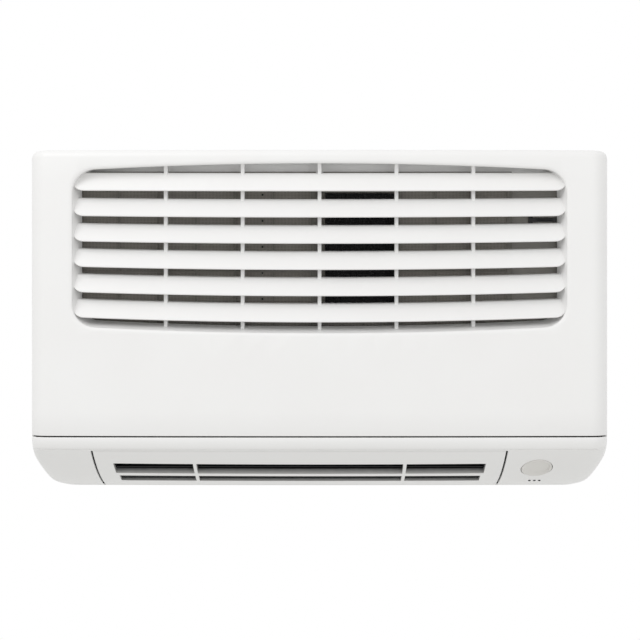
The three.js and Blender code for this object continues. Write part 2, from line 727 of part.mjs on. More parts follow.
// A finned coil standing on its local origin: X along the unit, Z up the coil, Y through it.
function finnedCoil(frame, length) {
  const halfThick = coilThickness / 2;
  const fins = blockIn(frame, coilLeft + coilPlate, coilRight - coilPlate, -halfThick, halfThick, 0, length);
  const plates = [coilLeft, coilRight - coilPlate].map((x) =>
    blockIn(frame, x, x + coilPlate, -halfThick - 0.5, halfThick + 0.5, -1, length + 1));
  const pitch = length / coilRows;
  const bends = [];
  for (let row = 0; row < coilRows; row++) {
    for (const [x, side] of [[coilLeft, -1], [coilRight, 1]]) {
      const low = (row + 0.25) * pitch;
      const high = low + pitch / 2;
      const reach = x + side * pitch * 0.27;
      const local = [[x - side, 0, low], [x + side, 0, low], [reach, 0, (low * 3 + high) / 4 + 1],
        [reach, 0, (low + high * 3) / 4 - 1], [x + side, 0, high], [x - side, 0, high]];
      const points = local.map((p) => new THREE.Vector3(...p).applyMatrix4(frame).toArray());
      bends.push(tube(points, coilTubeRadius, 6, 6, 0.4));
    }
  }
  return join(fins, ...plates, ...bends);
}

const frontCoilFrame = new THREE.Matrix4().setPosition(0, coilFrontY + coilThickness / 2, frontCoilBottom);
const rearCoilFrame = new THREE.Matrix4().makeRotationX(THREE.MathUtils.degToRad(rearCoilLean))
  .setPosition(0, chassisFront - 14, tubPlaneZ + 9);

// ---- Pipes ----

const gasRadius = 9.52 / 2;
const liquidRadius = 6.35 / 2;
const gasRun = { y: -24, z: -148, x: 219 };
const liquidRun = { y: -24, z: -128, x: 208.5 };
const pipeEndX = -150;

function refrigerantPipe(radius, run, start) {
  const bend = radius * 3;
  const path = [
    start,
    [run.x - bend / 2, start[1], start[2]],
    [run.x, start[1] + bend / 2, start[2] - bend / 2],
    [run.x, run.y - bend / 3, start[2] - 2 * bend],
    [run.x, run.y, start[2] - 3 * bend],
    [run.x, run.y, run.z + bend],
    [run.x - bend * 0.3, run.y, run.z + bend * 0.3],
    [run.x - bend, run.y, run.z],
    [pipeEndX, run.y, run.z],
  ];
  return tube(path, radius, 8, 26, 0.1);
}

const rearCoilPitch = rearCoilLength / coilRows;
const onRearCoil = (x, y, z) => new THREE.Vector3(coilRight + x, y, z).applyMatrix4(rearCoilFrame).toArray();
const gasStart = onRearCoil(gap, -8.6, rearCoilPitch * 3);
const liquidStart = onRearCoil(gap, 0, rearCoilPitch);
const gasPipe = () => refrigerantPipe(gasRadius, gasRun, gasStart);
const liquidPipe = () => refrigerantPipe(liquidRadius, liquidRun, liquidStart);

// A hexagonal flare nut over the pipe's end, with a blind socket for the pipe and a flat outer face.
function flareNut(radius, run) {
  const length = radius * 4;
  const x1 = pipeEndX + radius * 2;
  const body = barX(radius + 3.4, x1 - length, x1, run.y, run.z, 6);
  return cut(body, barX(radius + gap, pipeEndX - gap, x1 + 1, run.y, run.z, 12));
}

const insulationEnds = [pipeEndX + 30, 170];

function insulation(radius, run, thickness) {
  const [x0, x1] = insulationEnds;
  return cut(barX(radius + thickness, x0, x1, run.y, run.z, 14),
    barX(radius + gap, x0 - 1, x1 + 1, run.y, run.z, 10));
}

const alongRearCoil = rearCoilFrame.clone().multiply(new THREE.Matrix4().makeRotationY(Math.PI / 2));
const coilSensor = () =>
  barIn(alongRearCoil, 2.5, coilRight + gap, coilRight + 18, -rearCoilPitch * 2, 0, 10);

// ---- Fan and motor ----

const fanLeft = ductLeft + fanEndGap;
const fanRight = ductRight - fanEndGap;
const motorLeft = 206;
const motorLength = 62;
const motorRadius = 37;
const bracketBand = 2.5;
const fanStubRadius = 3;

// The fan about its own axis: leaning blades between discs, with a stub shaft at each end.
function crossFlowFan() {
  const disc = (x) => barX(fanRadius, x, x + 3, 0, 0, 24);
  const ring = (x) => cut(disc(x), barX(fanRadius - fanBladeDepth - 1, x - 1, x + 4, 0, 0, 18));
  const spacing = (fanRight - 3 - fanLeft) / 3;
  const middle = [1, 2].map((i) => ring(fanLeft + i * spacing));
  const blades = Array.from({ length: fanBladeCount }, (_, i) => {
    const geometry = new THREE.BoxGeometry(fanRight - fanLeft - 2, fanBladeThickness, fanBladeDepth);
    geometry.rotateX(THREE.MathUtils.degToRad(fanBladeLean));
    geometry.translate((fanLeft + fanRight) / 2, 0, fanRadius - fanBladeDepth / 2 - 0.6);
    geometry.rotateX((2 * Math.PI * i) / fanBladeCount);
    return solidOf(geometry);
  });
  const shafts = [
    barX(fanStubRadius, ductLeft - 10, fanLeft + 1, 0, 0, 12),
    barX(4, fanRight - 1, motorLeft - gap, 0, 0, 12)];
  return join(disc(fanLeft), disc(fanRight - 3), ...middle, ...blades, ...shafts);
}

function fanMotor() {
  const can = barX(motorRadius, motorLeft + 4, motorLeft + motorLength, fanY, fanZ, 28);
  const boss = barX(9, motorLeft, motorLeft + 5, fanY, fanZ, 16);
  return join(can, boss, barX(11, motorLeft + motorLength - 1, motorLeft + motorLength + 4, fanY, fanZ, 16));
}

function motorBracket() {
  const x0 = motorLeft + 20;
  const x1 = x0 + 18;
  const outer = motorRadius + gap + bracketBand;
  const foot = block(x0, x1, fanY, chassisFront - gap, fanZ - 12, fanZ + 12);
  return cut(join(barX(outer, x0, x1, fanY, fanZ, 28), foot),
    barX(motorRadius + gap, x0 - 1, x1 + 1, fanY, fanZ, 28));
}

const bushInner = fanStubRadius + gap;
const bushOuter = 10;

// The left end of the fan turns in a rubber bush that sits in a cup on the duct's outer side.
function bearingBush() {
  const x1 = ductLeft - ductWall;
  return cut(barX(bushOuter, x1 - 7, x1 - gap, fanY, fanZ, 16),
    barX(bushInner, x1 - 8, x1 + 1, fanY, fanZ, 12));
}

function bearingMount() {
  const x1 = ductLeft - ductWall - gap;
  const cup = barX(bushOuter + 3, x1 - 10, x1, fanY, fanZ, 18);
  const flange = barX(22, x1 - 3, x1, fanY, fanZ, 20);
  const foot = block(x1 - 3, x1, fanY, chassisFront - gap, fanZ - 14, fanZ + 14);
  return cut(join(cup, flange, foot), barX(bushOuter + gap, x1 - 7.4, x1 + 1, fanY, fanZ, 18));
}

// ---- Vanes ----

const flow = new THREE.Vector3(0, -Math.sqrt(1 - flowDrop ** 2), -flowDrop);
const across = new THREE.Vector3(0, -flow.z, flow.y); // square to the flow, towards the wall
const right = new THREE.Vector3(1, 0, 0);
// Local frame of a vane: X along the unit, Y down the flow, Z across it.
const vaneTurn = new THREE.Matrix4().makeBasis(right, flow, right.clone().cross(flow));
const vaneSide = Math.sign(right.clone().cross(flow).dot(across));
const flapCentre = new THREE.Vector3(0, flapY, flapZ);
const vaneCentre = flapCentre.clone().addScaledVector(flow, -vaneToFlap);
const vaneX = Array.from({ length: vaneCount }, (_, i) =>
  grilleCentreX + (i - (vaneCount - 1) / 2) * vanePitch);
const bankSize = vaneCount / 2;
const railNear = vaneHeight / 2 + 3;
const railThickness = 3;

// The flap about its own axis: a flat leaf with rounded edges and a pin at each end.
function horizontalVane() {
  const chord = new THREE.Vector2(flow.y, flow.z);
  const normal = new THREE.Vector2(-chord.y, chord.x);
  const outline = [];
  for (const [side, end] of [[1, 1], [1, -1], [-1, -1], [-1, 1]]) {
    const taper = end > 0 ? 0.5 : 0.7;
    const p = chord.clone().multiplyScalar((end * flapChord) / 2)
      .addScaledVector(normal, (side * flapThickness * taper) / 2);
    outline.push([p.x, p.y]);
    if (end > 0 && side > 0) {
      const middle = normal.clone().multiplyScalar(flapThickness * 0.7);
      outline.push([middle.x, middle.y]);
    }
  }
  const leaf = prismX(outline, ductLeft + 2, ductRight - 2);
  return join(leaf, barX(flapPinRadius, ductLeft - ductWall, ductLeft + 4, 0, 0, 10),
    barX(flapPinRadius, ductRight - 4, ductRight + ductWall + 2 - gap, 0, 0, 10));
}

// One upright vane about its pivot, with a pivot pin towards the wall and a link pin towards the front.
function verticalVane() {
  const leaf = new THREE.BoxGeometry(vaneThickness, vaneChord, vaneHeight);
  const pinStart = vaneHeight / 3;
  const pinEnd = railNear + railThickness + vanePinRadius;
  const pin = new THREE.CylinderGeometry(vanePinRadius, vanePinRadius, pinEnd - pinStart, 10);
  pin.rotateX(Math.PI / 2).translate(0, 0, (vaneSide * (pinStart + pinEnd)) / 2);
  const link = new THREE.CylinderGeometry(linkPinRadius, linkPinRadius, 12, 8);
  link.rotateX(Math.PI / 2).translate(0, -linkOffset, vaneSide * -(vaneHeight / 2 - 2));
  return join(solidOf(leaf), solidOf(pin), solidOf(link));
}

const rowFrame = vaneTurn.clone().setPosition(vaneCentre);

function vaneRail() {
  const near = vaneSide * railNear;
  const far = vaneSide * (railNear + railThickness);
  const [low, high] = [Math.min(near, far), Math.max(near, far)];
  const rail = blockIn(rowFrame, ductLeft + gap, ductRight - gap, -4, 4, low, high);
  const holes = vaneX.map((x) => barIn(rowFrame, vanePinRadius + gap, low - 1, high + 1, x, 0, 10));
  return cut(rail, ...holes);
}

// A flat bar over one bank's link pins, slotted so that the pins' arcs pass.
function tieBar(bank) {
  const links = vaneX.slice(bank * bankSize, (bank + 1) * bankSize);
  const z = -vaneSide * (vaneHeight / 2 + 2.2);
  const bar = blockIn(rowFrame, links[0] - 8, links.at(-1) + 8,
    -linkOffset - 4.4, -linkOffset + 5.4, z - 1, z + 1);
  const slots = links.map((x) => blockIn(rowFrame, x - linkPinRadius - 0.6, x + linkPinRadius + 0.6,
    -linkOffset - linkPinRadius - 0.4, -linkOffset + linkPinRadius + 1.6, z - 2, z + 2));
  return cut(bar, ...slots);
}

function vaneMotor() {
  const x0 = ductRight + ductWall + 2;
  const can = barX(12, x0, x0 + 12.5, flapY, flapZ, 20);
  const ears = block(x0, x0 + 1.2, flapY - 17, flapY + 17, flapZ - 3.5, flapZ + 3.5);
  return join(can, ears, barX(4, ductRight + ductWall + gap, x0 + 1, flapY + 8, flapZ + 6, 8));
}

// ---- Filters and sensor ----

const filterFront = bulkheadFront - gap - meshThickness - gap - filterThickness;

function filterFrame(x0, x1, ribs) {
  const y1 = filterFront + filterThickness;
  const inside = block(x0 + filterBar, x1 - filterBar, filterFront - 1, y1 + 1,
    filterBottomZ + filterBar, filterTopZ - filterBar);
  const frame = cut(block(x0, x1, filterFront, y1, filterBottomZ, filterTopZ), inside);
  const levels = [1, 2, 3].map((i) => filterBottomZ + (filterHeight * i) / 4);
  const rails = levels.map((z) => block(x0 + 1, x1 - 1, filterFront, y1, z - 1, z + 1));
  const posts = ribs.map((x) => block(x - 1.2, x + 1.2, filterFront, y1, filterBottomZ + 1, filterTopZ - 1));
  return join(frame, ...rails, ...posts);
}

function filterMesh(x0, x1) {
  const y0 = filterFront + filterThickness + gap;
  return block(x0 + 1, x1 - 1, y0, y0 + meshThickness, filterBottomZ + 1, filterTopZ - 1);
}

function charcoalFilter() {
  const y1 = filterFront - gap;
  const body = block(6, 79, y1 - 2.2, y1, 14, 131);
  const dents = [0, 1, 2, 3, 4].map((i) => block(12, 73, y1 - 3, y1 - 1.4, 20 + i * 22, 36 + i * 22));
  return cut(body, ...dents);
}

function roomSensor() {
  const y1 = bulkheadFront - gap;
  const x0 = filterRightX + 18;
  const z = topZ - 72;
  const holder = block(x0, x0 + 30, y1 - 3, y1, z - 2, z + 2);
  const foot = block(x0, x0 + 4, y1 - 2.5, y1, z - 15, z + 15);
  return join(holder, foot, barX(1.2, x0 + 9, x0 + 25, y1 - 2.6, z, 10));
}

// ---- Control box ----

const box = { x0: half - 85, x1: half - 10, y0: -150, y1: -104, z0: -20, z1: 122 };
const boxWall = 2;

function controlBox() {
  const hollow = block(box.x0 + boxWall, box.x1 - boxWall, box.y0 - 1, box.y1 - boxWall,
    box.z0 + boxWall, box.z1 - boxWall);
  const leg = block(box.x0 + 20, box.x0 + 40, box.y1 - 1, chassisFront - gap, 60, 64);
  return cut(join(block(box.x0, box.x1, box.y0, box.y1, box.z0, box.z1), leg), hollow);
}

function controlBoxLid() {
  const lid = block(box.x0, box.x1, box.y0 - gap - 2, box.y0 - gap, box.z0 + 36, box.z1);
  return cut(lid, barY(2, box.y0 - 4, box.y0 + 1, box.x0 + 37, box.z1 - 8, 10));
}

const boardFront = box.y1 - boxWall - 6;
const controlBoard = () => join(
  block(box.x0 + boxWall + gap, box.x1 - boxWall - gap, boardFront, boardFront + boardThickness,
    box.z0 + 34, box.z1 - 4),
  block(box.x0 + 10, box.x0 + 16, boardFront, box.y1 - boxWall - gap, box.z0 + 40, box.z0 + 46),
  block(box.x1 - 16, box.x1 - 10, boardFront, box.y1 - boxWall - gap, box.z1 - 14, box.z1 - 8));

const onBoard = (x0, x1, z0, z1, tall) => block(x0, x1, boardFront - gap - tall, boardFront - gap, z0, z1);
const transformer = () => join(
  onBoard(box.x0 + 7, box.x0 + 35, box.z1 - 38, box.z1 - 12, 20),
  onBoard(box.x0 + 10, box.x0 + 32, box.z1 - 42, box.z1 - 8, 12));
const relay = () => onBoard(box.x0 + 43, box.x0 + 61, box.z1 - 30, box.z1 - 14, 15);
const fanCapacitor = () => join(
  onBoard(box.x0 + 7, box.x0 + 47, box.z0 + 62, box.z0 + 82, 24),
  onBoard(box.x0 + 11, box.x0 + 43, box.z0 + 65, box.z0 + 79, 26));

function terminalBlock() {
  const y1 = box.y1 - boxWall - gap;
  const body = block(box.x0 + 8, box.x1 - 8, y1 - 16, y1, box.z0 + 6, box.z0 + 26);
  const wells = [0, 1, 2, 3].map((i) => barY(3.5, y1 - 17, y1 - 8, box.x0 + 17 + i * 13.5, box.z0 + 16, 8));
  return cut(body, ...wells);
}

function cordClamp() {
  const z1 = box.z0 + boxWall;
  const strap = block(box.x0 + 24, box.x0 + 52, box.y0 + 8, box.y0 + 18, z1 + gap, z1 + gap + 3);
  return cut(strap, barY(1.6, box.y0, box.y0 + 20, box.x0 + 38, z1 + gap, 8));
}

// A cross-head screw along Y, its head towards the front.
function screw(x, z, headRear, shankRadius, length) {
  const head = barY(shankRadius * 2, headRear - 2, headRear, x, z, 12);
  const slot = join(
    block(x - shankRadius * 1.3, x + shankRadius * 1.3, headRear - 3, headRear - 1, z - 0.4, z + 0.4),
    block(x - 0.4, x + 0.4, headRear - 3, headRear - 1, z - shankRadius * 1.3, z + shankRadius * 1.3));
  return cut(join(head, barY(shankRadius, headRear - 1, headRear + length, x, z, 10)), slot);
}

const cabinetScrew = (x) => screw(x, screwZ, bulkheadFront - gap, screwRadius, 14);
const lidScrew = () => screw(box.x0 + 37, box.z1 - 8, box.y0 - gap - 2 - gap, 1.5, 8);

// ---- Mounting plate ----

function mountingPlate() {
  const sheet = block(-230, 230, -plateThickness, 0, -100, 150);
  const holes = [-200, -100, 100, 200].flatMap((x) => [-80, 120].map((z) =>
    barY(3, -plateThickness - 1, 1, x, z, 8)));
  const window = [[-170, -60], [60, 170]].map(([x0, x1]) => block(x0, x1, -plateThickness - 1, 1, -60, 40));
  const hooks = hookX.map((x) => join(
    block(x - hookWidth / 2, x + hookWidth / 2, chassisFront - 1.5 - plateThickness, -plateThickness / 2,
      hookZ, hookZ + plateThickness),
    block(x - hookWidth / 2, x + hookWidth / 2, chassisFront - 1.5 - plateThickness, chassisFront - 1.5,
      hookZ, hookZ + hookRise)));
  return join(cut(sheet, ...holes, ...window), ...hooks);
}

// ---- Assembly ----

const unit = new THREE.Group();

function add(name, solid, material, position) {
  const mesh = new THREE.Mesh(geometryOf(solid), material);
  mesh.name = name;
  if (position) mesh.position.copy(position);
  unit.add(mesh);
  return mesh;
}

add("cabinet", cabinet(), white());
add("front_panel", frontPanel(), white());
add("intake_louvre", intakeLouvre(), white());
add("outlet_grille", outletGrille(), white());
add("manual_button", manualButton(), plastic(0xe4e3df, 0.4));
["left", "middle", "right"].forEach((side, i) =>
  add("indicator_lamp_" + side, indicatorLamp(lampX[i]), plastic(0x3a4038, 0.3)));
add("display_board", displayBoard(), plastic(0x2f5d3a, 0.5));
add("push_switch", pushSwitch(), black());
add("signal_receiver", signalReceiver(), black());

add("chassis", chassis(), inside());
add("drain_pan", drainPan(), inside());
add("drain_spout", drainSpout(), inside());
add("mounting_plate", mountingPlate(), metal(colours.steel, 0.45));

add("evaporator_front", finnedCoil(frontCoilFrame, frontCoilHeight), metal(0xc4c7c9, 0.4));
add("evaporator_rear", finnedCoil(rearCoilFrame, rearCoilLength), metal(0xc4c7c9, 0.4));
add("liquid_pipe", liquidPipe(), metal(colours.copper, 0.35));
add("gas_pipe", gasPipe(), metal(colours.copper, 0.35));
add("liquid_flare_nut", flareNut(liquidRadius, liquidRun), metal(0xc9a75a, 0.3));
add("gas_flare_nut", flareNut(gasRadius, gasRun), metal(0xc9a75a, 0.3));
add("liquid_insulation", insulation(liquidRadius, liquidRun, 4.5), plastic(0x2b2b2b, 0.95));
add("gas_insulation", insulation(gasRadius, gasRun, 6), plastic(0x2b2b2b, 0.95));
add("coil_sensor", coilSensor(), metal(colours.copper, 0.35));

add("cross_flow_fan", crossFlowFan(), black(), new THREE.Vector3(0, fanY, fanZ));
add("fan_motor", fanMotor(), metal(colours.steel, 0.4));
add("motor_bracket", motorBracket(), inside());
add("bearing_mount", bearingMount(), inside());
add("bearing_bush", bearingBush(), plastic(0x1c1c1c, 0.9));

add("horizontal_vane", horizontalVane(), black(), flapCentre);
add("vane_motor", vaneMotor(), metal(colours.steel, 0.4));
vaneX.forEach((x, i) => {
  const place = vaneCentre.clone().setX(x);
  const vane = add("vertical_vane_" + (i + 1), verticalVane(), black(), place);
  vane.quaternion.setFromRotationMatrix(vaneTurn);
});
add("tie_bar_left", tieBar(0), black());
add("tie_bar_right", tieBar(1), black());
add("vane_rail", vaneRail(), black());

const filterPosts = { left: [-210, -160, -110, -60], right: [54, 104, 154] };
add("filter_frame_left", filterFrame(filterLeftX, -filterMiddleX, filterPosts.left),
  plastic(0x8b8f92, 0.7));
add("filter_frame_right", filterFrame(filterMiddleX, filterRightX, filterPosts.right),
  plastic(0x8b8f92, 0.7));
add("filter_mesh_left", filterMesh(filterLeftX, -filterMiddleX), plastic(0x5a5d60, 0.9));
add("filter_mesh_right", filterMesh(filterMiddleX, filterRightX), plastic(0x5a5d60, 0.9));
add("charcoal_filter", charcoalFilter(), black());
add("room_sensor", roomSensor(), black());

add("control_box", controlBox(), plastic(0xcfcfca, 0.6));
add("control_box_lid", controlBoxLid(), metal(0xb5b8ba, 0.5));
add("control_board", controlBoard(), plastic(0x8a6a3a, 0.5));
add("transformer", transformer(), plastic(0x33353a, 0.6));
add("relay", relay(), plastic(0x1f3f73, 0.5));
add("fan_capacitor", fanCapacitor(), plastic(0x22252b, 0.5));
add("terminal_block", terminalBlock(), plastic(0x3b3b3b, 0.6));
add("cord_clamp", cordClamp(), inside());
add("cabinet_screw_left", cabinetScrew(screwX[0]), metal(colours.steel, 0.35));
add("cabinet_screw_right", cabinetScrew(screwX[1]), metal(colours.steel, 0.35));
add("lid_screw", lidScrew(), metal(colours.steel, 0.35));

export default unit;
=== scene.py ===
import math
import bpy
import bmesh
from mathutils import Matrix, Vector


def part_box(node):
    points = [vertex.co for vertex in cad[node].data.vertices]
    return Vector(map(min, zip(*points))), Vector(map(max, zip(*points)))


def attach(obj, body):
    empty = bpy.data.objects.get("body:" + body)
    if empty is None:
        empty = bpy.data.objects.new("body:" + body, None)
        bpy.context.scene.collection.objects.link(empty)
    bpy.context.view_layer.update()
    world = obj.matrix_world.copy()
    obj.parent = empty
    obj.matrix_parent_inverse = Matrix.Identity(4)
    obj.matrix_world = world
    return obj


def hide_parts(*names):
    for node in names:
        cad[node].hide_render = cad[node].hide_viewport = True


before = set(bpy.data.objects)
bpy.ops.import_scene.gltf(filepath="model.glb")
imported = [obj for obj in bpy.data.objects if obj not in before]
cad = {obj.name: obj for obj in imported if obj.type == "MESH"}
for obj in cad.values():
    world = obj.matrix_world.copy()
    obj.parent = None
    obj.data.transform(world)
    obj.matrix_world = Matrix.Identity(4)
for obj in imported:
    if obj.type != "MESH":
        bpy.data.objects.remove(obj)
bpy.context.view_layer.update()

# ---- Camera ----
# The view is square on to the front, from 1.5 m in front of it, at about mid-height.

MM = 0.001
DEPTH = 189 * MM
CAMERA_X, CAMERA_AWAY, CAMERA_Z = 0.5 * MM, 1.5, -3.3 * MM
SENSOR_WIDTH = 36
VIEW_WIDTH = 667 * MM  # what the frame holds at the plane of the front

camera_data = bpy.data.cameras.new("camera")
camera_data.sensor_width = SENSOR_WIDTH
camera_data.lens = SENSOR_WIDTH * CAMERA_AWAY / VIEW_WIDTH
camera = bpy.data.objects.new("camera", camera_data)
camera.location = (CAMERA_X, -DEPTH - CAMERA_AWAY, CAMERA_Z)
camera.rotation_euler = (math.radians(90), 0, 0)
bpy.context.scene.collection.objects.link(camera)
bpy.context.scene.camera = camera
bpy.context.scene.view_settings.view_transform = "Standard"


# ---- Studio ----
# A white surround, a pale floor well below the unit, and broad soft lamps from above and in front.

def srgb(code):
    """A colour written as sRGB hex, as linear values."""
    parts = [int(code[i:i + 2], 16) / 255 for i in (1, 3, 5)]
    linear = [c / 12.92 if c <= 0.04045 else ((c + 0.055) / 1.055) ** 2.4 for c in parts]
    return (*linear, 1)


def node(tree, kind, settings=None, **inputs):
    """Adds a node with its settings and its inputs, which are values or other nodes' sockets."""
    made = tree.nodes.new(kind)
    for name, value in (settings or {}).items():
        setattr(made, name, value)
    for name, value in inputs.items():
        socket = made.inputs[int(name[1:]) if name[0] == "_" else name.replace("_", " ")]
        if isinstance(value, bpy.types.NodeSocket):
            tree.links.new(value, socket)
        else:
            socket.default_value = value
    return made


def finish(name, roughness, **settings):
    """A new material; returns it with its tree and its shader."""
    made = bpy.data.materials.new(name)
    made.use_nodes = True
    shader = made.node_tree.nodes["Principled BSDF"]
    shader.inputs["Roughness"].default_value = roughness
    for setting, value in settings.items():
        shader.inputs[setting.replace("_", " ")].default_value = value
    return made, made.node_tree, shader


def only(*pieces):
    """Selects these pieces alone, in object mode; the first is the active one."""
    if bpy.context.mode != "OBJECT":
        bpy.ops.object.mode_set(mode="OBJECT")
    bpy.ops.object.select_all(action="DESELECT")
    for piece in reversed(pieces):
        piece.select_set(True)
        bpy.context.view_layer.objects.active = piece


def added(name, primitive, **size_and_place):
    """A new object from a primitive, the only one selected, with its place in its mesh."""
    only()
    scale = size_and_place.pop("scale", (1, 1, 1))
    primitive(**size_and_place)
    piece = bpy.context.object
    piece.scale = scale
    piece.name = piece.data.name = name
    bpy.ops.object.transform_apply(location=True, rotation=True, scale=True)
    return piece


WORLD_LEVEL = 0.72   # how brightly the white surround lights the unit
world = bpy.data.worlds.new("studio")
bpy.context.scene.world = world
world.use_nodes = True
tree = world.node_tree
tree.nodes.clear()
path = node(tree, "ShaderNodeLightPath")
through = node(tree, "ShaderNodeMath", {"operation": "MAXIMUM"},
               _0=path.outputs["Is Camera Ray"], _1=path.outputs["Is Transmission Ray"])
seen = node(tree, "ShaderNodeMath", {"operation": "MAXIMUM"},
            _0=through.outputs[0], _1=path.outputs["Is Glossy Ray"])
light = node(tree, "ShaderNodeBackground", Color=srgb("#ffffff"), Strength=WORLD_LEVEL)
white = node(tree, "ShaderNodeBackground", Color=srgb("#ffffff"), Strength=1.0)
mixed = node(tree, "ShaderNodeMixShader", _0=seen.outputs[0], _1=light.outputs[0],
             _2=white.outputs[0])
node(tree, "ShaderNodeOutputWorld", Surface=mixed.outputs[0])

FLOOR_SIZE, FLOOR_FORWARD, FLOOR_BELOW = 6, 0.9, 1.6
floor = added("floor", bpy.ops.mesh.primitive_plane_add, size=FLOOR_SIZE,
              location=(0, -FLOOR_FORWARD, -FLOOR_BELOW))
floor.data.materials.append(finish("pale_floor", 0.8, Base_Color=srgb("#f4f4f2"))[0])

LIGHTS_AIM = Vector((0, -0.1, 0))
for name, place, size, power in (("key", (-1.1, -1.6, 1.5), 1.4, 17),
                                 ("fill", (1.3, -1.8, 0.5), 1.6, 5)):
    lamp = bpy.data.lights.new(name, "AREA")
    lamp.size = size
    lamp.energy = power
    light_object = bpy.data.objects.new(name, lamp)
    light_object.location = place
    to_unit = LIGHTS_AIM - Vector(place)
    light_object.rotation_euler = to_unit.to_track_quat("-Z", "Y").to_euler()
    bpy.context.scene.collection.objects.link(light_object)


# ---- Cabinet ----
# The real one is a thin shell of white ABS, moulded in one piece: sides, top, the band under the
# panel and the sloping lower face. Here its outside is a block, bevelled, cut and pushed back
# level by level, opened where the panel and the grille go, then given its wall.

case_low, case_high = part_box("cabinet")
HALF_WIDTH = case_high.x
TOP, BOTTOM = case_high.z, case_low.z
REAR = case_high.y
CROWN = 4 * MM             # the front bulges this much in its middle
FLAT_FRONT = -DEPTH + CROWN
PLAN_CORNER = 22 * MM
CROWN_REACH = HALF_WIDTH - PLAN_CORNER
TOP_EDGE = 8 * MM
BOTTOM_EDGE = 9 * MM
CHIN_LEAN, CHIN_LEAN_HEIGHT = 0.22, 38 * MM   # the sides of the chin lean in towards the bottom
WALL = 2.5 * MM
SEAM = TOP - 299.7 * MM    # between the panel and the band
PARTING = -165 * MM        # between the panel's sides and the cabinet's
GAP = 1.2 * MM
BAND_BACK, BAND_TURN = 5.2 * MM, 2.3   # the band rolls back, slowly and then fast
CREASE_DEPTH, CREASE_HALF = 0.6 * MM, 0.5 * MM   # a fine groove parts it from the lower face
CREASE = SEAM - 15 * MM
SLOPE_RUN, SLOPE_BULGE = 94.8 * MM, 5.3 * MM
SLOPE_FOOT = BOTTOM + 1 * MM
SLOPE_LENGTH = math.hypot(SLOPE_RUN, CREASE - SLOPE_FOOT)
SLOPE_DOWN = Vector((0, SLOPE_RUN, SLOPE_FOOT - CREASE)) / SLOPE_LENGTH
SLOPE_OUT = Vector((0, SLOPE_DOWN.z, -SLOPE_DOWN.y))
# Where the outside is cut, as shares of the band and of the slope, and how many parts the front is
# cut into, up it and from its middle to each side.
BAND_LEVELS = 0.3, 0.45, 0.6, 0.72, 0.82, 0.91
SLOPE_LEVELS = 0, 0.02, 0.06, 0.13, 0.22, 0.33, 0.45, 0.57, 0.69, 0.8, 0.86, 0.9, 0.94, 0.97, 1
FRONT_ROWS, FRONT_COLUMNS = 11, 10
X, Y, Z = (Vector(row) for row in Matrix.Identity(3))
# Turns for what was made facing up, so that it faces the side or the front.
TO_SIDE, TO_FRONT = (0, math.radians(90), 0), (math.radians(90), 0, 0)


def on_slope(x, along):
    """The point of the lower face at x, so far down its slope."""
    share = along / SLOPE_LENGTH
    crown = CROWN * max(0, 1 - (x / CROWN_REACH) ** 2)
    start = Vector((x, FLAT_FRONT + BAND_BACK - crown, CREASE))
    return start + SLOPE_DOWN * along + SLOPE_OUT * 4 * SLOPE_BULGE * share * (1 - share)


def rod(name, radius, length, middle, turn=TO_SIDE, vertices=24, **settings):
    """A cylinder that lies along X, unless it is turned otherwise."""
    return added(name, bpy.ops.mesh.primitive_cylinder_add, vertices=vertices, radius=radius,
                 depth=length, location=middle, rotation=turn, **settings)


def sheet(name, width, height, middle, turn=TO_FRONT):
    """A flat face that is seen from the front, unless it is turned otherwise."""
    return added(name, bpy.ops.mesh.primitive_plane_add, size=1, scale=(width, height, 1),
                 rotation=turn, location=middle)


def block(name, low, high):
    """A box between two corners."""
    low, high = Vector(low), Vector(high)
    return added(name, bpy.ops.mesh.primitive_cube_add, size=1, location=(low + high) / 2,
                 scale=high - low)


def pick(kind, test, open_only=False):
    """Selects the VERT, EDGE or FACE parts whose middle and direction pass the test; of the edges,
    it can keep to those at an opening."""
    bpy.ops.mesh.select_mode(type=kind)
    bpy.ops.mesh.select_all(action="DESELECT")
    data = bpy.context.edit_object.data
    mesh = bmesh.from_edit_mesh(data)
    if kind == "VERT":
        parts = [(v, v.co, v.normal) for v in mesh.verts]
    elif kind == "EDGE":
        parts = [(e, (e.verts[0].co + e.verts[1].co) / 2,
                  (e.verts[1].co - e.verts[0].co).normalized())
                 for e in mesh.edges if e.is_boundary or not open_only]
    else:
        parts = [(f, f.calc_center_median(), f.normal) for f in mesh.faces]
    for part, middle, direction in parts:
        if not part.hide and test(middle, direction):
            part.select_set(True)
    mesh.select_flush_mode()
    bmesh.update_edit_mesh(data)


def near(a, b, within=0.05 * MM):
    return abs(a - b) < within


def pick_all():
    bpy.ops.mesh.select_all(action="SELECT")


def editing(piece):
    only(piece)
    bpy.ops.object.mode_set(mode="EDIT")
    pick_all()


def cut_at(level, way, **settings):
    """Cuts the selected faces square to a unit vector, that far along it."""
    bpy.ops.mesh.bisect(plane_co=level * way, plane_no=way, threshold=1e-6, **settings)


def cut_through(level, way, **settings):
    """Cuts the whole mesh so."""
    pick_all()
    cut_at(level, way, **settings)


def moved(*offset):
    bpy.ops.transform.translate(value=offset)


def resized(*scale, z=0):
    """Scales what is selected about the middle, at height z."""
    bpy.ops.transform.resize(value=scale, center_override=(0, 0, z))


def pulled(amount, reach, test=lambda at, way: near(at.x, 0)):
    """Pulls the middle of the mesh, or what the test picks, fading to nothing at that reach."""
    pick("VERT", test)
    bpy.ops.transform.translate(value=amount, use_proportional_edit=True,
                                proportional_edit_falloff="INVERSE_SQUARE", proportional_size=reach)


def extruded(*offset):
    """Extrudes what is selected."""
    bpy.ops.mesh.extrude_region_move(TRANSFORM_OT_translate={"value": offset})


def deleted(kind, test):
    """Deletes the parts of the mesh that pass the test."""
    pick(kind, test)
    bpy.ops.mesh.delete(type=kind)


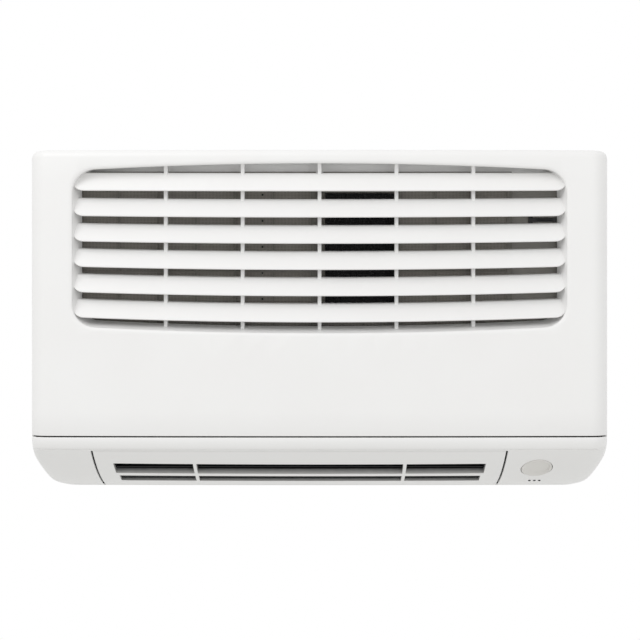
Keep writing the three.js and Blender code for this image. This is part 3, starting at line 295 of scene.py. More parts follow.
def all_facing(inside=False):
    """Turns every face of the mesh outwards, or inwards."""
    pick_all()
    bpy.ops.mesh.normals_make_consistent(inside=inside)


def case_outside(name):
    """The closed outer form that the panel, the cabinet and the grille share."""
    form = block(name, (-HALF_WIDTH, FLAT_FRONT, BOTTOM), (HALF_WIDTH, REAR, TOP))
    editing(form)
    pick("EDGE", lambda at, way: near(at.y, FLAT_FRONT) and abs(way.z) > 0.9)
    bpy.ops.mesh.bevel(offset=PLAN_CORNER, segments=10)
    pick("EDGE", lambda at, way: near(at.z, TOP) and at.y < REAR - MM)
    bpy.ops.mesh.bevel(offset=TOP_EDGE, segments=5)

    # Each level of the chin is cut, pushed back by its place on the slope and, low down, drawn in.
    levels = [(SEAM, 0)]
    for share in BAND_LEVELS:
        levels.append((SEAM + share * (CREASE - SEAM), BAND_BACK * share ** BAND_TURN))
    levels.append((CREASE + CREASE_HALF, BAND_BACK + CREASE_DEPTH))
    for share in SLOPE_LEVELS:
        at = on_slope(HALF_WIDTH, share * SLOPE_LENGTH)
        levels.append((at.z, at.y - FLAT_FRONT))
    for z, back in levels:
        cut_through(z, Z)
    levels.append((BOTTOM, SLOPE_RUN + BAND_BACK + 1 * MM))
    for z, back in levels:
        pick("VERT", lambda at, way: near(at.z, z) and at.y < REAR - MM)
        moved(0, back, 0)
        past = max(0, BOTTOM + BOTTOM_EDGE - z)
        drawn = BOTTOM_EDGE - math.sqrt(max(0, BOTTOM_EDGE ** 2 - past ** 2))
        drawn += CHIN_LEAN * max(0, BOTTOM + CHIN_LEAN_HEIGHT - z)
        pick("VERT", lambda at, way: near(at.z, z))
        resized(1 - drawn / HALF_WIDTH, 1, 1)

    # The crown is a pull on the middle that fades out towards the corners.
    for row in range(1, FRONT_ROWS):
        cut_through(SEAM + row / FRONT_ROWS * (TOP - TOP_EDGE - SEAM), Z)
    for column in range(1 - FRONT_COLUMNS, FRONT_COLUMNS):
        cut_through(column / FRONT_COLUMNS * CROWN_REACH, X)
    pick("VERT", lambda at, way: at.y > REAR - MM)
    bpy.ops.mesh.hide(unselected=False)
    pulled((0, -CROWN, 0), CROWN_REACH)
    bpy.ops.mesh.reveal()
    return form


def finish_with(piece, kind, **settings):
    """Adds a modifier, sets it and applies it."""
    only(piece)
    modifier = piece.modifiers.new(kind.lower(), kind)
    for setting, value in settings.items():
        setattr(modifier, setting, value)
    bpy.ops.object.modifier_apply(modifier=modifier.name)


def thickened(piece, thickness):
    """Gives a skin its wall, on its inner side."""
    finish_with(piece, "SOLIDIFY", thickness=thickness, offset=-1, use_even_offset=True)


def eased(piece, width, segments=2, angle=30):
    """Rounds a piece's sharp edges."""
    finish_with(piece, "BEVEL", width=width, segments=segments, limit_method="ANGLE",
                angle_limit=math.radians(angle))


def taken_out(piece, cutter, operation="DIFFERENCE"):
    """Cuts one piece with another, which is used up."""
    finish_with(piece, "BOOLEAN", operation=operation, object=cutter, solver="EXACT")
    bpy.data.objects.remove(cutter)


def smooth(piece, angle=30):
    only(piece)
    bpy.ops.object.shade_smooth_by_angle(angle=math.radians(angle))
    return piece


def joined(name, pieces):
    """Makes one piece of several."""
    only(*pieces)
    bpy.ops.object.join()
    whole = bpy.context.object
    whole.name = whole.data.name = name
    return whole


def spread(piece, offsets):
    """Copies a piece to each of the offsets; the copies take its place."""
    copies = []
    for offset in offsets:
        twin = piece.copy()
        twin.data = piece.data.copy()
        twin.data.transform(Matrix.Translation(offset))
        bpy.context.collection.objects.link(twin)
        copies.append(twin)
    bpy.data.objects.remove(piece)
    return copies


def rounded_block(name, low, high, radius, way=None, segments=3):
    """A box whose edges along the given way, or all its edges, are rounded."""
    piece = block(name, low, high)
    editing(piece)
    pick("EDGE", lambda at, along: way is None or abs(along[way]) > 0.9)
    bpy.ops.mesh.bevel(offset=radius, segments=segments)
    only(piece)
    return piece


def two_toned(name, light_tone, dark_tone, roughness, **settings):
    """A new material between two tones; returns it with its tree, its shader, the socket of the
    object's own coordinates and the socket that takes the share of the second tone."""
    made, tree, shader = finish(name, roughness, **settings)
    place = node(tree, "ShaderNodeTexCoord").outputs["Object"]
    tones = node(tree, "ShaderNodeMix", {"data_type": "RGBA"}, _6=srgb(light_tone),
                 _7=srgb(dark_tone))
    tree.links.new(tones.outputs[2], shader.inputs["Base Color"])
    return made, tree, shader, place, tones.inputs[0]


def moulded(name, light_tone, dark_tone, roughness, grain_mm=0.6, depth_mm=0.02):
    """A moulded plastic: two near tones in soft clouds, and a fine grain in its skin."""
    made, tree, shader, place, share = two_toned(name, light_tone, dark_tone, roughness)
    clouds = node(tree, "ShaderNodeTexNoise", Vector=place, Scale=14.0, Detail=2.0)
    tree.links.new(clouds.outputs["Fac"], share)
    grain = node(tree, "ShaderNodeTexNoise", Vector=place, Scale=1000.0 / grain_mm, Detail=2.0)
    sheen = node(tree, "ShaderNodeMapRange", Value=grain.outputs["Fac"], To_Min=roughness - 0.05,
                 To_Max=roughness + 0.05)
    tree.links.new(sheen.outputs[0], shader.inputs["Roughness"])
    bump = node(tree, "ShaderNodeBump", Height=grain.outputs["Fac"], Strength=0.25,
                Distance=depth_mm * MM)
    tree.links.new(bump.outputs["Normal"], shader.inputs["Normal"])
    return made


# ABS, moulded white: a fine sparked texture gives it a soft satin sheen without sparkle, and the
# colour is a touch warmer where the wall is thick.
white_abs = moulded("white_abs", "#f3f3f2", "#f0efee", 0.42)


def wearing(material, *pieces):
    """Gives pieces this material alone; a CAD part is called by its node's name."""
    for piece in pieces:
        mesh = (cad[piece] if isinstance(piece, str) else piece).data
        mesh.materials.clear()
        mesh.materials.append(material)


def fitted(piece, material, body, slot, *nodes):
    """Gives a finished piece its material and its body, and hides the nodes that it replaces; the
    slot is not used.
    """
    wearing(material, piece)
    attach(piece, body)
    if nodes:
        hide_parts(*nodes)


GRILLE_LEFT, GRILLE_RIGHT = (corner.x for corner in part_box("outlet_grille"))
GRILLE_TOP = CREASE - 2 * MM

BULKHEAD_FRONT = PARTING + 6 * MM
BULKHEAD_REAR = BULKHEAD_FRONT + WALL
FILTER_LEFT, FILTER_RIGHT = (-258 * MM, -4 * MM), (4 * MM, 204 * MM)
FILTER_BOTTOM, FILTER_TOP = TOP - 199 * MM, TOP - 21 * MM
FILTER_BAR = 5 * MM
BAND_TOP = SEAM - 1.4 * MM

shell = case_outside("cabinet_shell")
editing(shell)
cut_at(BAND_TOP, Z)
pick("FACE", lambda at, way: at.z > BAND_TOP)
cut_at(PARTING, Y)
deleted("FACE", lambda at, way: (at.z > BAND_TOP and at.y < PARTING) or at.y > REAR - 0.1 * MM)

# The place of the outlet grille is cut out of the lower face.
SIDE_GAP = 1.9 * MM
left, right, top = GRILLE_LEFT - SIDE_GAP, GRILLE_RIGHT + SIDE_GAP, GRILLE_TOP + GAP
for level, along in ((left, X), (right, X), (top, Z)):
    pick("FACE", lambda at, way: at.z < CREASE)
    cut_at(level, along)
deleted("FACE", lambda at, way: left < at.x < right and BOTTOM + 0.1 * MM < at.z < top
        and way.y < -0.2)
thickened(shell, WALL)
editing(shell)
pick("EDGE", lambda at, way: near(at.z, BAND_TOP) and at.y < PARTING and abs(way.z) < 0.5)
bpy.ops.mesh.bevel(offset=0.6 * MM, segments=3)

# Behind the panel stands a bulkhead with a window for each filter, and a shelf closes the band.
SHELF_TOP, SHELF_WALL, SHELF_INSET = BAND_TOP - 1 * MM, 2.4 * MM, 2 * MM
bulkhead = rounded_block(
    "bulkhead", (WALL - HALF_WIDTH - MM, BULKHEAD_FRONT, SEAM - 4 * MM),
    (HALF_WIDTH - WALL + MM, BULKHEAD_REAR, TOP - WALL + MM), 7 * MM, 1, 4)
for low, high in (FILTER_LEFT, FILTER_RIGHT):
    taken_out(bulkhead, rounded_block(
        "window", (low + FILTER_BAR, BULKHEAD_FRONT - MM, FILTER_BOTTOM + FILTER_BAR),
        (high - FILTER_BAR, BULKHEAD_REAR + MM, FILTER_TOP - FILTER_BAR), 4 * MM, 1))
eased(bulkhead, 0.4 * MM, angle=50)
shelf = case_outside("shelf")
for level, along, side in ((SHELF_TOP, Z, "clear_outer"),
                           (SHELF_TOP - SHELF_WALL, Z, "clear_inner"),
                           (BULKHEAD_REAR, Y, "clear_outer")):
    editing(shelf)
    cut_at(level, along, use_fill=True, **{side: True})
editing(shelf)
resized(1 - SHELF_INSET / HALF_WIDTH, 1, 1)
moved(0, MM, 0)
lintel = rounded_block(
    "lintel", (WALL - HALF_WIDTH - MM, BULKHEAD_FRONT - 0.15 * MM, FILTER_TOP - 1 * MM),
    (HALF_WIDTH - WALL + MM, BULKHEAD_REAR, TOP - WALL + MM), 0.1 * MM, 0, 1)
filter_stop = rounded_block(
    "filter_stop", (FILTER_LEFT[0], BULKHEAD_FRONT - 3 * MM, FILTER_BOTTOM - 2.8 * MM),
    (FILTER_RIGHT[1], BULKHEAD_FRONT + MM, FILTER_BOTTOM - 0.3 * MM), 0.5 * MM)
# The air comes in through the top: long passages, each with a bar down it and two across.
VENTS, VENT_PITCH, VENT_WIDTH, VENT_MIDDLE = 18, 26 * MM, 14 * MM, -29.2 * MM
VENT_FRONT, VENT_REAR, VENT_BAR = -144.5 * MM, -30 * MM, 2.4 * MM
vent_length = (VENT_REAR - VENT_FRONT - 2 * VENT_BAR) / 3
first_x = VENT_MIDDLE - (VENTS - 1) / 2 * VENT_PITCH - VENT_WIDTH / 2
vent = rounded_block(
    "vent", (first_x, VENT_FRONT, TOP - 2 * WALL),
    (first_x + (VENT_WIDTH - VENT_BAR) / 2, VENT_FRONT + vent_length, TOP + WALL), 1.6 * MM, 2, 2)
taken_out(shell, joined("vents", spread(vent, [
    (i * VENT_PITCH + half * (VENT_WIDTH + VENT_BAR) / 2, row * (vent_length + VENT_BAR), 0)
    for i in range(VENTS) for half in (0, 1) for row in range(3)])))

# A groove behind the panel's top lip leaves room for its hinge pins, which lie in small seats.
HINGE_Y, HINGE_Z, HINGE_RADIUS = PARTING + 2.3 * MM, TOP - 4 * MM, 1.5 * MM
HINGES_X = (-230 * MM, 0, 230 * MM)
taken_out(shell, block("groove", (-HALF_WIDTH - MM, PARTING - WALL, HINGE_Z - 1.4 * MM),
                       (HALF_WIDTH + MM, PARTING + 6.4 * MM, TOP + MM)))
seat = rounded_block("seat", (-1.5 * MM, PARTING + 0.3 * MM, HINGE_Z - 6 * MM),
                     (1.5 * MM, BULKHEAD_FRONT + MM, HINGE_Z + 0.9 * MM), 0.4 * MM)
taken_out(seat, rod("notch", HINGE_RADIUS + 0.3 * MM, 8 * MM, (0, HINGE_Y, HINGE_Z)))
taken_out(seat, block("mouth", (-4 * MM, PARTING - MM, HINGE_Z - HINGE_RADIUS - 0.3 * MM),
                      (4 * MM, HINGE_Y, HINGE_Z + 2 * MM)))
SEAT_AWAY = 8.5 * MM       # to each side of a hinge's middle
seats = spread(seat, [(x + side * SEAT_AWAY, 0, 0) for x in HINGES_X for side in (-1, 1)])

# Round holes take the two fixing screws, and an oval one the push pad, with three for the lamps.
PAD_X, PAD_ALONG, PAD_HALF, PAD_GAP = 232.8 * MM, 41.6 * MM, (16 * MM, 21 * MM), 1.1 * MM
LAMPS_X, LAMP_ALONG, LAMP_RADIUS = (230.5 * MM, 235.9 * MM, 241.3 * MM), 83.2 * MM, 1.5 * MM
SCREWS_X, SCREW_Z, SCREW_ROOM = (-247.5 * MM, 205.5 * MM), SEAM + 14 * MM, 2.6 * MM
# The turn that sets what was made facing up into the lower face at the pad.
down = (on_slope(PAD_X, PAD_ALONG + MM) - on_slope(PAD_X, PAD_ALONG - MM)).normalized()
TO_SLOPE = math.atan2(down.y, -down.z) + math.radians(90), 0, 0


def bored(piece, place, turn, radius, scale=(1, 1, 1), vertices=32):
    """Bores a hole, 16 mm long."""
    taken_out(piece, rod("bore", radius, 16 * MM, place, turn, vertices, scale=scale))


for x in SCREWS_X:
    bored(bulkhead, (x, BULKHEAD_FRONT, SCREW_Z), TO_FRONT, SCREW_ROOM)
pad_stretch = (PAD_HALF[1] + PAD_GAP) / (PAD_HALF[0] + PAD_GAP)
bored(shell, on_slope(PAD_X, PAD_ALONG), TO_SLOPE, PAD_HALF[0] + PAD_GAP, (1, pad_stretch, 1), 72)
for x in LAMPS_X:
    bored(shell, on_slope(x, LAMP_ALONG), TO_SLOPE, LAMP_RADIUS + 0.2 * MM, vertices=24)
cabinet = smooth(joined("cabinet_shell", [shell, shelf, lintel, *seats]))
fitted(cabinet, white_abs, "case", "white_shell", "cabinet")

# The wall that carries the filters is the same white ABS; its mid grey is painted shade, which
# keeps the louvre's gaps dark.
painted_shade_grey_abs = moulded("painted_shade_grey_abs", "#93908a", "#8b8883", 0.5)
filter_wall = smooth(joined("filter_wall", [bulkhead, filter_stop]))
fitted(filter_wall, painted_shade_grey_abs, "case", "white_shell", "cabinet")


# ---- Front panel ----
# A hinged white ABS moulding with short sides and a lip over the top. The mouth of the intake is
# cut through it and its rim is rounded over.

PANEL_FOOT = SEAM + 0.25 * MM
panel = case_outside("front_panel_shell")
editing(panel)
cut_at(PANEL_FOOT, Z, clear_inner=True)
cut_through(PARTING - 0.3 * MM, Y, clear_outer=True)
thickened(panel, WALL)

MOUTH_HALF = 258.5 * MM
MOUTH_TOP, MOUTH_BOTTOM = TOP - 14.6 * MM, TOP - 191.8 * MM
MOUTH_BOW = 6.3 * MM
MOUTH_CORNER = 19 * MM
MOUTH_MIDDLE = (MOUTH_TOP + MOUTH_BOTTOM) / 2
MOUTH_RISE = (MOUTH_TOP - MOUTH_BOTTOM) / 2


def mouth_outline(name, grow, y):
    """A flat face in the shape of the mouth, with its bowed upper and lower edges."""
    half, rise = MOUTH_HALF + grow, MOUTH_RISE - MOUTH_BOW + grow
    outline = sheet(name, 2 * half, 2 * rise, (0, y, MOUTH_MIDDLE))
    editing(outline)
    pick("VERT", lambda at, way: True)
    bpy.ops.mesh.bevel(offset=MOUTH_CORNER + grow, segments=8, affect="VERTICES")
    pick("EDGE", lambda at, way: near(at.x, 0))
    bpy.ops.mesh.subdivide(number_cuts=15)
    for side in (1, -1):
        pick("VERT", lambda at, way: (at.z - MOUTH_MIDDLE) * side < 0)
        bpy.ops.mesh.hide(unselected=False)
        pulled((0, 0, side * MOUTH_BOW), half - MOUTH_CORNER - grow,
               lambda at, way: near(at.x, 0) and near(abs(at.z - MOUTH_MIDDLE), rise))
        bpy.ops.mesh.reveal(select=False)
    return outline


def stretched(wider, before, after):
    """Widens the selection, and takes its growth above and below the mouth from before to after."""
    taller = (2 * MOUTH_RISE + sum(after)) / (2 * MOUTH_RISE + sum(before))
    middle = MOUTH_MIDDLE + (before[0] - before[1]) / 2
    resized(wider, 1, taller, z=middle)
    moved(0, 0, (after[0] - after[1] - before[0] + before[1]) / 2)


def mouth_solid(name, stations):
    """A closed solid through the mouth; a station is its growth at the sides, above and below, and
    its depth behind the front."""
    solid = mouth_outline(name, stations[0][0], FLAT_FRONT + stations[0][3])
    pick_all()
    for last, following in zip(stations, stations[1:]):
        extruded(0, following[3] - last[3], 0)
        stretched((MOUTH_HALF + following[0]) / (MOUTH_HALF + last[0]), last[1:3], following[1:3])
    all_facing()
    pulled((0, -CROWN, 0), CROWN_REACH)
    bpy.ops.object.mode_set(mode="OBJECT")
    return solid


# The rim's section: how far the mouth is open, at each depth behind the front.
RIM_SECTION = ((6 * MM, -4 * MM), (3.5 * MM, 0), (1.6 * MM, 0.35 * MM), (0.4 * MM, 1.1 * MM),
               (0, 2 * MM), (0, 10 * MM))
stations = [(grow, grow, grow, back) for grow, back in RIM_SECTION]
taken_out(panel, mouth_solid("mouth_cutter", stations))
editing(panel)
pick("EDGE", lambda at, way: near(at.z, PANEL_FOOT) and at.y < PARTING - MM and abs(way.z) < 0.5)
bpy.ops.mesh.bevel(offset=0.4 * MM, segments=2)

# Three arms under the top lip carry the hinge pins.
arm = rounded_block("arm", (-3 * MM, HINGE_Y - 14 * MM, HINGE_Z - 1.2 * MM),
                    (3 * MM, HINGE_Y, TOP - WALL / 2), 0.5 * MM)
taken_out(arm, block("clearance", (-4 * MM, PARTING - 0.3 * MM, HINGE_Z + HINGE_RADIUS),
                     (4 * MM, 0, TOP + MM)))
pin = rod("pin", HINGE_RADIUS, 22 * MM, (0, HINGE_Y, HINGE_Z))
eased(pin, 0.3 * MM)
hinges = spread(joined("hinge", [arm, pin]), [(x, 0, 0) for x in HINGES_X])
panel = smooth(joined("front_panel_shell", [panel, *hinges]), 40)
fitted(panel, white_abs, "panel", "white_shell", "front_panel")


# ---- Intake louvre ----
# One white ABS moulding snapped into the panel's mouth: a tapering rim, six leaning blades with a
# flange behind each upper edge, and five thin ribs that tie them together.

LOUVRE_BACK = 21.5 * MM    # from the front's outer face to the rim's rear edge
LOUVRE_FRONT = WALL + 0.3 * MM
TAPER, RIM_LIFT = 7 * MM, 1.8 * MM   # the rim leans in at its ends and below, and out above
BLADES, BLADE_PITCH = 6, 26.5 * MM
BLADE_RISE, BLADE_RUN = 17.7 * MM, 10 * MM
FLANGE_RISE, FLANGE_RUN, FLANGE_BEND = 2.4 * MM, 9 * MM, 1.2 * MM
BLADE_WALL, RIM_WALL = 2 * MM, 2 * MM
BLADE_SAG, MORE_SAG = 1 * MM, 0.92 * MM   # of the first blade, and more for each one below
FIRST_BLADE = TOP - 42 * MM
BLADE_CORNER = 12 * MM
SAG_REACH = MOUTH_HALF + TAPER
BLADE_COLUMNS = 8          # parts that a blade is cut into, from its middle to each end
RIBS, RIB_PITCH, RIB_WIDTH = 5, 80.9 * MM, 4 * MM

# The rim is the mouth's outline drawn back and inwards, then thickened outwards.
louvre_rim = mouth_outline("louvre_rim", 0, FLAT_FRONT + LOUVRE_FRONT)
pick_all()
bpy.ops.mesh.delete(type="ONLY_FACE")
deleted("EDGE", lambda at, way: near(at.z, MOUTH_MIDDLE, MM) and abs(at.x) < MOUTH_HALF - MM)
pick_all()
extruded(0, LOUVRE_BACK - LOUVRE_FRONT, 0)
stretched(1 - TAPER / MOUTH_HALF, (0, 0), (RIM_LIFT, -TAPER))
pulled((0, -CROWN, 0), CROWN_REACH)
all_facing(inside=True)
thickened(louvre_rim, RIM_WALL)
smooth(louvre_rim, 40)

# The first blade: a strip from its lower edge up and back, with rounded lower corners.
LOWER_HALF = MOUTH_HALF + 1 * MM
lean = math.atan2(BLADE_RUN, BLADE_RISE)
lower_y = FLAT_FRONT + WALL
first_blade = sheet("blade", 2 * LOWER_HALF, math.hypot(BLADE_RISE, BLADE_RUN),
                    (0, lower_y + BLADE_RUN / 2, FIRST_BLADE + BLADE_RISE / 2),
                    (math.radians(90) - lean, 0, 0))
editing(first_blade)
pick("VERT", lambda at, way: near(at.y, lower_y, 0.5 * MM))
bpy.ops.mesh.bevel(offset=BLADE_CORNER, segments=6, affect="VERTICES")
pick("EDGE", lambda at, way: near(at.y, lower_y + BLADE_RUN, 0.5 * MM) and abs(way.x) > 0.9)
extruded(0, FLANGE_BEND, FLANGE_BEND)
extruded(0, FLANGE_RUN - FLANGE_BEND, FLANGE_RISE - FLANGE_BEND)
for column in range(1 - BLADE_COLUMNS, BLADE_COLUMNS):
    cut_through(column / BLADE_COLUMNS * LOWER_HALF, X)
pulled((0, -CROWN, 0), CROWN_REACH)
pulled((0, 0, -BLADE_SAG), SAG_REACH)
thickened(first_blade, BLADE_WALL)
eased(first_blade, 0.5 * MM, angle=50)

# Each blade sags a little more than the one above, and is trimmed to the room in the rim.
tight = -0.1 * MM
blades = spread(first_blade, [(0, 0, -i * BLADE_PITCH) for i in range(BLADES)])
for i, blade in enumerate(blades):
    if i:
        editing(blade)
        pulled((0, 0, -i * MORE_SAG), SAG_REACH)
    mouth = mouth_solid("mouth_room", (
        (tight, tight, tight, -2 * MM), (tight, tight, tight, LOUVRE_FRONT),
        (0.5 * MM - TAPER, RIM_LIFT + 0.5 * MM, 0.5 * MM - TAPER, LOUVRE_BACK + 1 * MM)))
    taken_out(blade, mouth, "INTERSECT")
    smooth(blade, 12)

ribs = []
for i in range(RIBS):
    x = (i - (RIBS - 1) / 2) * RIB_PITCH
    front = on_slope(x, 0).y - BAND_BACK + WALL + BLADE_RUN - 0.5 * MM
    rib = rounded_block("rib", (x - RIB_WIDTH / 2, front, MOUTH_BOTTOM - 1 * MM), (
        x + RIB_WIDTH / 2, front + LOUVRE_BACK - WALL - BLADE_RUN, MOUTH_TOP + 1 * MM), 0.7 * MM, 2)
    ribs.append(smooth(rib))

louvre = joined("intake_louvre_moulding", [louvre_rim, *blades, *ribs])
fitted(louvre, white_abs, "panel", "white_shell", "intake_louvre")


# ---- Outlet grille ----
# A separate white ABS piece snapped into the chin, a hair proud of its seam. It has two long slots
# in the lower face, each split by two ribs that stand back from it.

SLOTS = (27 * MM, 26.5 * MM), (61.8 * MM, 19.6 * MM)   # each one's start down the slope, and width
SLOT_INSET = 18.8 * MM, 21.3 * MM
SLOT_RIBS = -133 * MM, 91 * MM
SLOT_RIB_WIDTH = 3.5 * MM
SLOT_WALLS, GRILLE_WALL = (6 * MM, 3 * MM), 1.6 * MM


def lower_face(name, left, right, top):
    """The case's outer skin between two sides and below a level, in edit mode."""
    skin = case_outside(name)
    cut_through(left, X, clear_inner=True)
    cut_through(right, X, clear_outer=True)
    cut_through(top, Z, clear_outer=True)
    deleted("FACE", lambda at, way: at.z < BOTTOM + 0.2 * MM or at.y > REAR - MM)
    return skin


grille = lower_face("outlet_grille_face", GRILLE_LEFT + 0.3 * MM, GRILLE_RIGHT - 0.3 * MM,
                    GRILLE_TOP + 0.8 * MM)
for (start, length), inset in zip(SLOTS, SLOT_INSET):
    for along in (start, start + length):
        cut_through((on_slope(0, along) + CROWN * Y).dot(SLOPE_DOWN), SLOPE_DOWN)
    for x in (GRILLE_LEFT + inset, GRILLE_RIGHT - inset,
              *(rib + side * SLOT_RIB_WIDTH / 2 for rib in SLOT_RIBS for side in (-1, 1))):
        cut_through(x, X)


def down_slope(at):
    return (at - Vector((at.x, FLAT_FRONT + BAND_BACK, CREASE))).dot(SLOPE_DOWN)


def beside_ribs(x):
    return all(abs(x - rib) > SLOT_RIB_WIDTH / 2 for rib in SLOT_RIBS)


def in_slot(row, at, room=0):
    """Whether a point of the lower face lies in a row of slots, or so near to it."""
    start, length = SLOTS[row]
    left, right = GRILLE_LEFT + SLOT_INSET[row], GRILLE_RIGHT - SLOT_INSET[row]
    return (start - room < down_slope(at) < start + length + room
            and left - room < at.x < right + room)


deleted("FACE", lambda at, way: (in_slot(0, at) or in_slot(1, at)) and beside_ribs(at.x))

# Each slot's edge is turned inwards all round, which makes it look deep.
for row, depth in enumerate(SLOT_WALLS):
    pick("EDGE", lambda at, way: in_slot(row, at, 0.5 * MM), open_only=True)
    extruded(*(-depth * SLOPE_OUT))
thickened(grille, GRILLE_WALL)
smooth(grille)
fitted(grille, white_abs, "case", "white_shell", "outlet_grille")

# The same ABS with painted shade: it greys the walls of the slots, more the deeper they lie, in
# uneven patches.
SHADE_FROM, SHADE_TO = 0.5 * MM, 6.5 * MM   # out from the chord of the slope
painted_shade_abs, tree, shader, place, share = two_toned("painted_shade_abs", "#45464a", "#d8d7d4", 0.6)
chord = Vector((0, FLAT_FRONT + BAND_BACK, CREASE)).dot(SLOPE_OUT)
outwards = node(tree, "ShaderNodeVectorMath", {"operation": "DOT_PRODUCT"}, _0=place,
                _1=SLOPE_OUT)
depth = node(tree, "ShaderNodeMapRange", Value=outwards.outputs["Value"],
             From_Min=chord + SHADE_FROM, From_Max=chord + SHADE_TO)
patches = node(tree, "ShaderNodeTexNoise", Vector=place, Scale=120.0, Detail=3.0)
uneven = node(tree, "ShaderNodeMath", {"operation": "MULTIPLY_ADD"},
              _0=patches.outputs["Fac"], _1=0.2, _2=depth.outputs[0])
tree.links.new(uneven.outputs[0], share)
# The walls of the slots take the painted shade.
grille.data.materials.append(painted_shade_abs)
editing(grille)
pick("FACE", lambda at, way: abs(way.dot(SLOPE_OUT)) < 0.5
     and (in_slot(0, at, 2 * MM) or in_slot(1, at, 2 * MM)))
grille.active_material_index = 1
bpy.ops.object.material_slot_assign()

# Black felt on the cabinet's floor catches drips, and strips of it seal the sides of the grille.
FELT_REAR, FELT_FRONT, FELT_PAST, FELT_WALL = -16 * MM, -92 * MM, 8 * MM, 1.5 * MM
SEAL_HALF = 5 * MM
felt_low = BOTTOM + WALL + 0.1 * MM
felt = rounded_block("drip_felt", (GRILLE_LEFT - FELT_PAST, FELT_FRONT, felt_low),
                     (GRILLE_RIGHT + FELT_PAST, FELT_REAR, felt_low + FELT_WALL), 0.6 * MM)
seals = []
for edge in (GRILLE_LEFT, GRILLE_RIGHT):
    seal = lower_face("edge_seal", edge - SEAL_HALF, edge + SEAL_HALF, CREASE)
    pick_all()
    moved(*(-(WALL + 0.3 * MM) * SLOPE_OUT))
    thickened(seal, FELT_WALL)
    seals.append(smooth(seal))
# Wool felt, dyed black: dull and fuzzy.
black_felt = moulded("black_felt", "#0c0c0d", "#19191a", 0.95, 0.9, 0.3)
fitted(joined("drip_felt", [felt, *seals]), black_felt, "case", "foam")


# ---- Push pad ----
# The pad that the user presses is white ABS with an oval dish, set off centre, in its upper face.
# Its skirt runs back to a flange that keeps it behind the case, and a stem reaches the switch.

PAD_RIM, PAD_EDGE, PAD_SKIRT = 1.1 * MM, 0.35 * MM, 3.9 * MM
PAD_FLANGE, FLANGE_WALL, STEM_LENGTH = 1.8 * MM, 1.2 * MM, 4 * MM


def placed(piece, place, turn):
    """Puts a piece that was made flat at the origin where it belongs."""
    only(piece)
    piece.location, piece.rotation_euler = place, turn
    bpy.ops.object.transform_apply(location=True, rotation=True, scale=True)
    return piece


def further(up, scale=1, slide=0):
    """Extrudes the selection, then scales it about the middle and slides it sideways."""
    extruded(0, 0, up)
    resized(scale, scale, 1)
    moved(slide, 0, 0)


def seated(piece, x, along, angle):
    """Closes the rear of a piece that was made flat, smooths it and sets it in the lower face."""
    bpy.ops.mesh.edge_face_add()
    all_facing()
    smooth(placed(piece, on_slope(x, along), TO_SLOPE), angle)


pad = added("push_pad_moulding", bpy.ops.mesh.primitive_circle_add, vertices=72, radius=PAD_HALF[0],
            fill_type="NGON", scale=(1, PAD_HALF[1] / PAD_HALF[0], 1))
editing(pad)
bpy.ops.mesh.inset(thickness=PAD_RIM)
bpy.ops.mesh.inset(thickness=0.3 * MM, depth=-0.15 * MM)
further(-2.1 * MM, 0.8, 2.1 * MM)   # the dish
further(-0.1 * MM, 0.95, 0.1 * MM)
pick("EDGE", lambda at, way: near(at.z, 0) and math.hypot(at.x, at.y * PAD_HALF[0] / PAD_HALF[1])
     > PAD_HALF[0] - 0.3 * MM)
further(-PAD_EDGE, 1 + 0.25 * MM / PAD_HALF[0])
further(PAD_EDGE - PAD_SKIRT)
further(0, 1 + PAD_FLANGE / PAD_HALF[0])
further(-FLANGE_WALL)
further(0, 0.2)
further(-STEM_LENGTH, 0.9)
seated(pad, PAD_X, PAD_ALONG, 50)
# ABS with a finer texture than the case, which looks a shade darker.
pad_abs = moulded("pad_abs", "#e4e2de", "#dedcd8", 0.38, 0.4)
fitted(pad, pad_abs, "button", "pad_plastic", "manual_button")


# ---- Indicator lamps ----
# Three light guides of smoked acrylic, 3 mm across, stand on the display board. Each ends in a
# small dome in the case.

DOME_STEPS = (0.35, 0.95), (0.3, 0.83), (0.2, 0.68), (0.08, 0.5)   # up in mm, and narrower
COLLAR_BEHIND, COLLAR_WIDER, COLLAR_LENGTH = 2 * MM, 1.3, 6 * MM
# Smoked acrylic, polished: nearly black when unlit, with a bright glint.
smoked_acrylic = moulded("smoked_acrylic", "#1c1e21", "#26282c", 0.12, 0.5, 0.004)
for name, x in zip(("left", "middle", "right"), LAMPS_X):
    lens = added(f"lamp_lens_{name}", bpy.ops.mesh.primitive_circle_add, vertices=24,
                 radius=LAMP_RADIUS, fill_type="NGON")
    editing(lens)
    for rise, narrower in DOME_STEPS:
        further(rise * MM, narrower)
    pick("EDGE", lambda at, way: near(at.z, 0) and at.length > LAMP_RADIUS * 0.95)
    further(-COLLAR_BEHIND)
    further(0, COLLAR_WIDER)
    further(-COLLAR_LENGTH)
    seated(lens, x, LAMP_ALONG, 40)
    fitted(lens, smoked_acrylic, "case", "lamp_lens", f"indicator_lamp_{name}")


# ---- Filters ----
# Each filter is a woven polypropylene net in a grey frame with thin bars, which slides down behind
# the louvre. A charcoal sponge clips over the left one.

FRAME_EDGE, FRAME_BAR, FRAME_ROWS = 5 * MM, 1.6 * MM, 5
# Polypropylene, moulded thin: matt, in a grey that hides against the net.
grey_polypropylene = moulded("grey_polypropylene", "#7c7973", "#75726c", 0.6, 0.8)


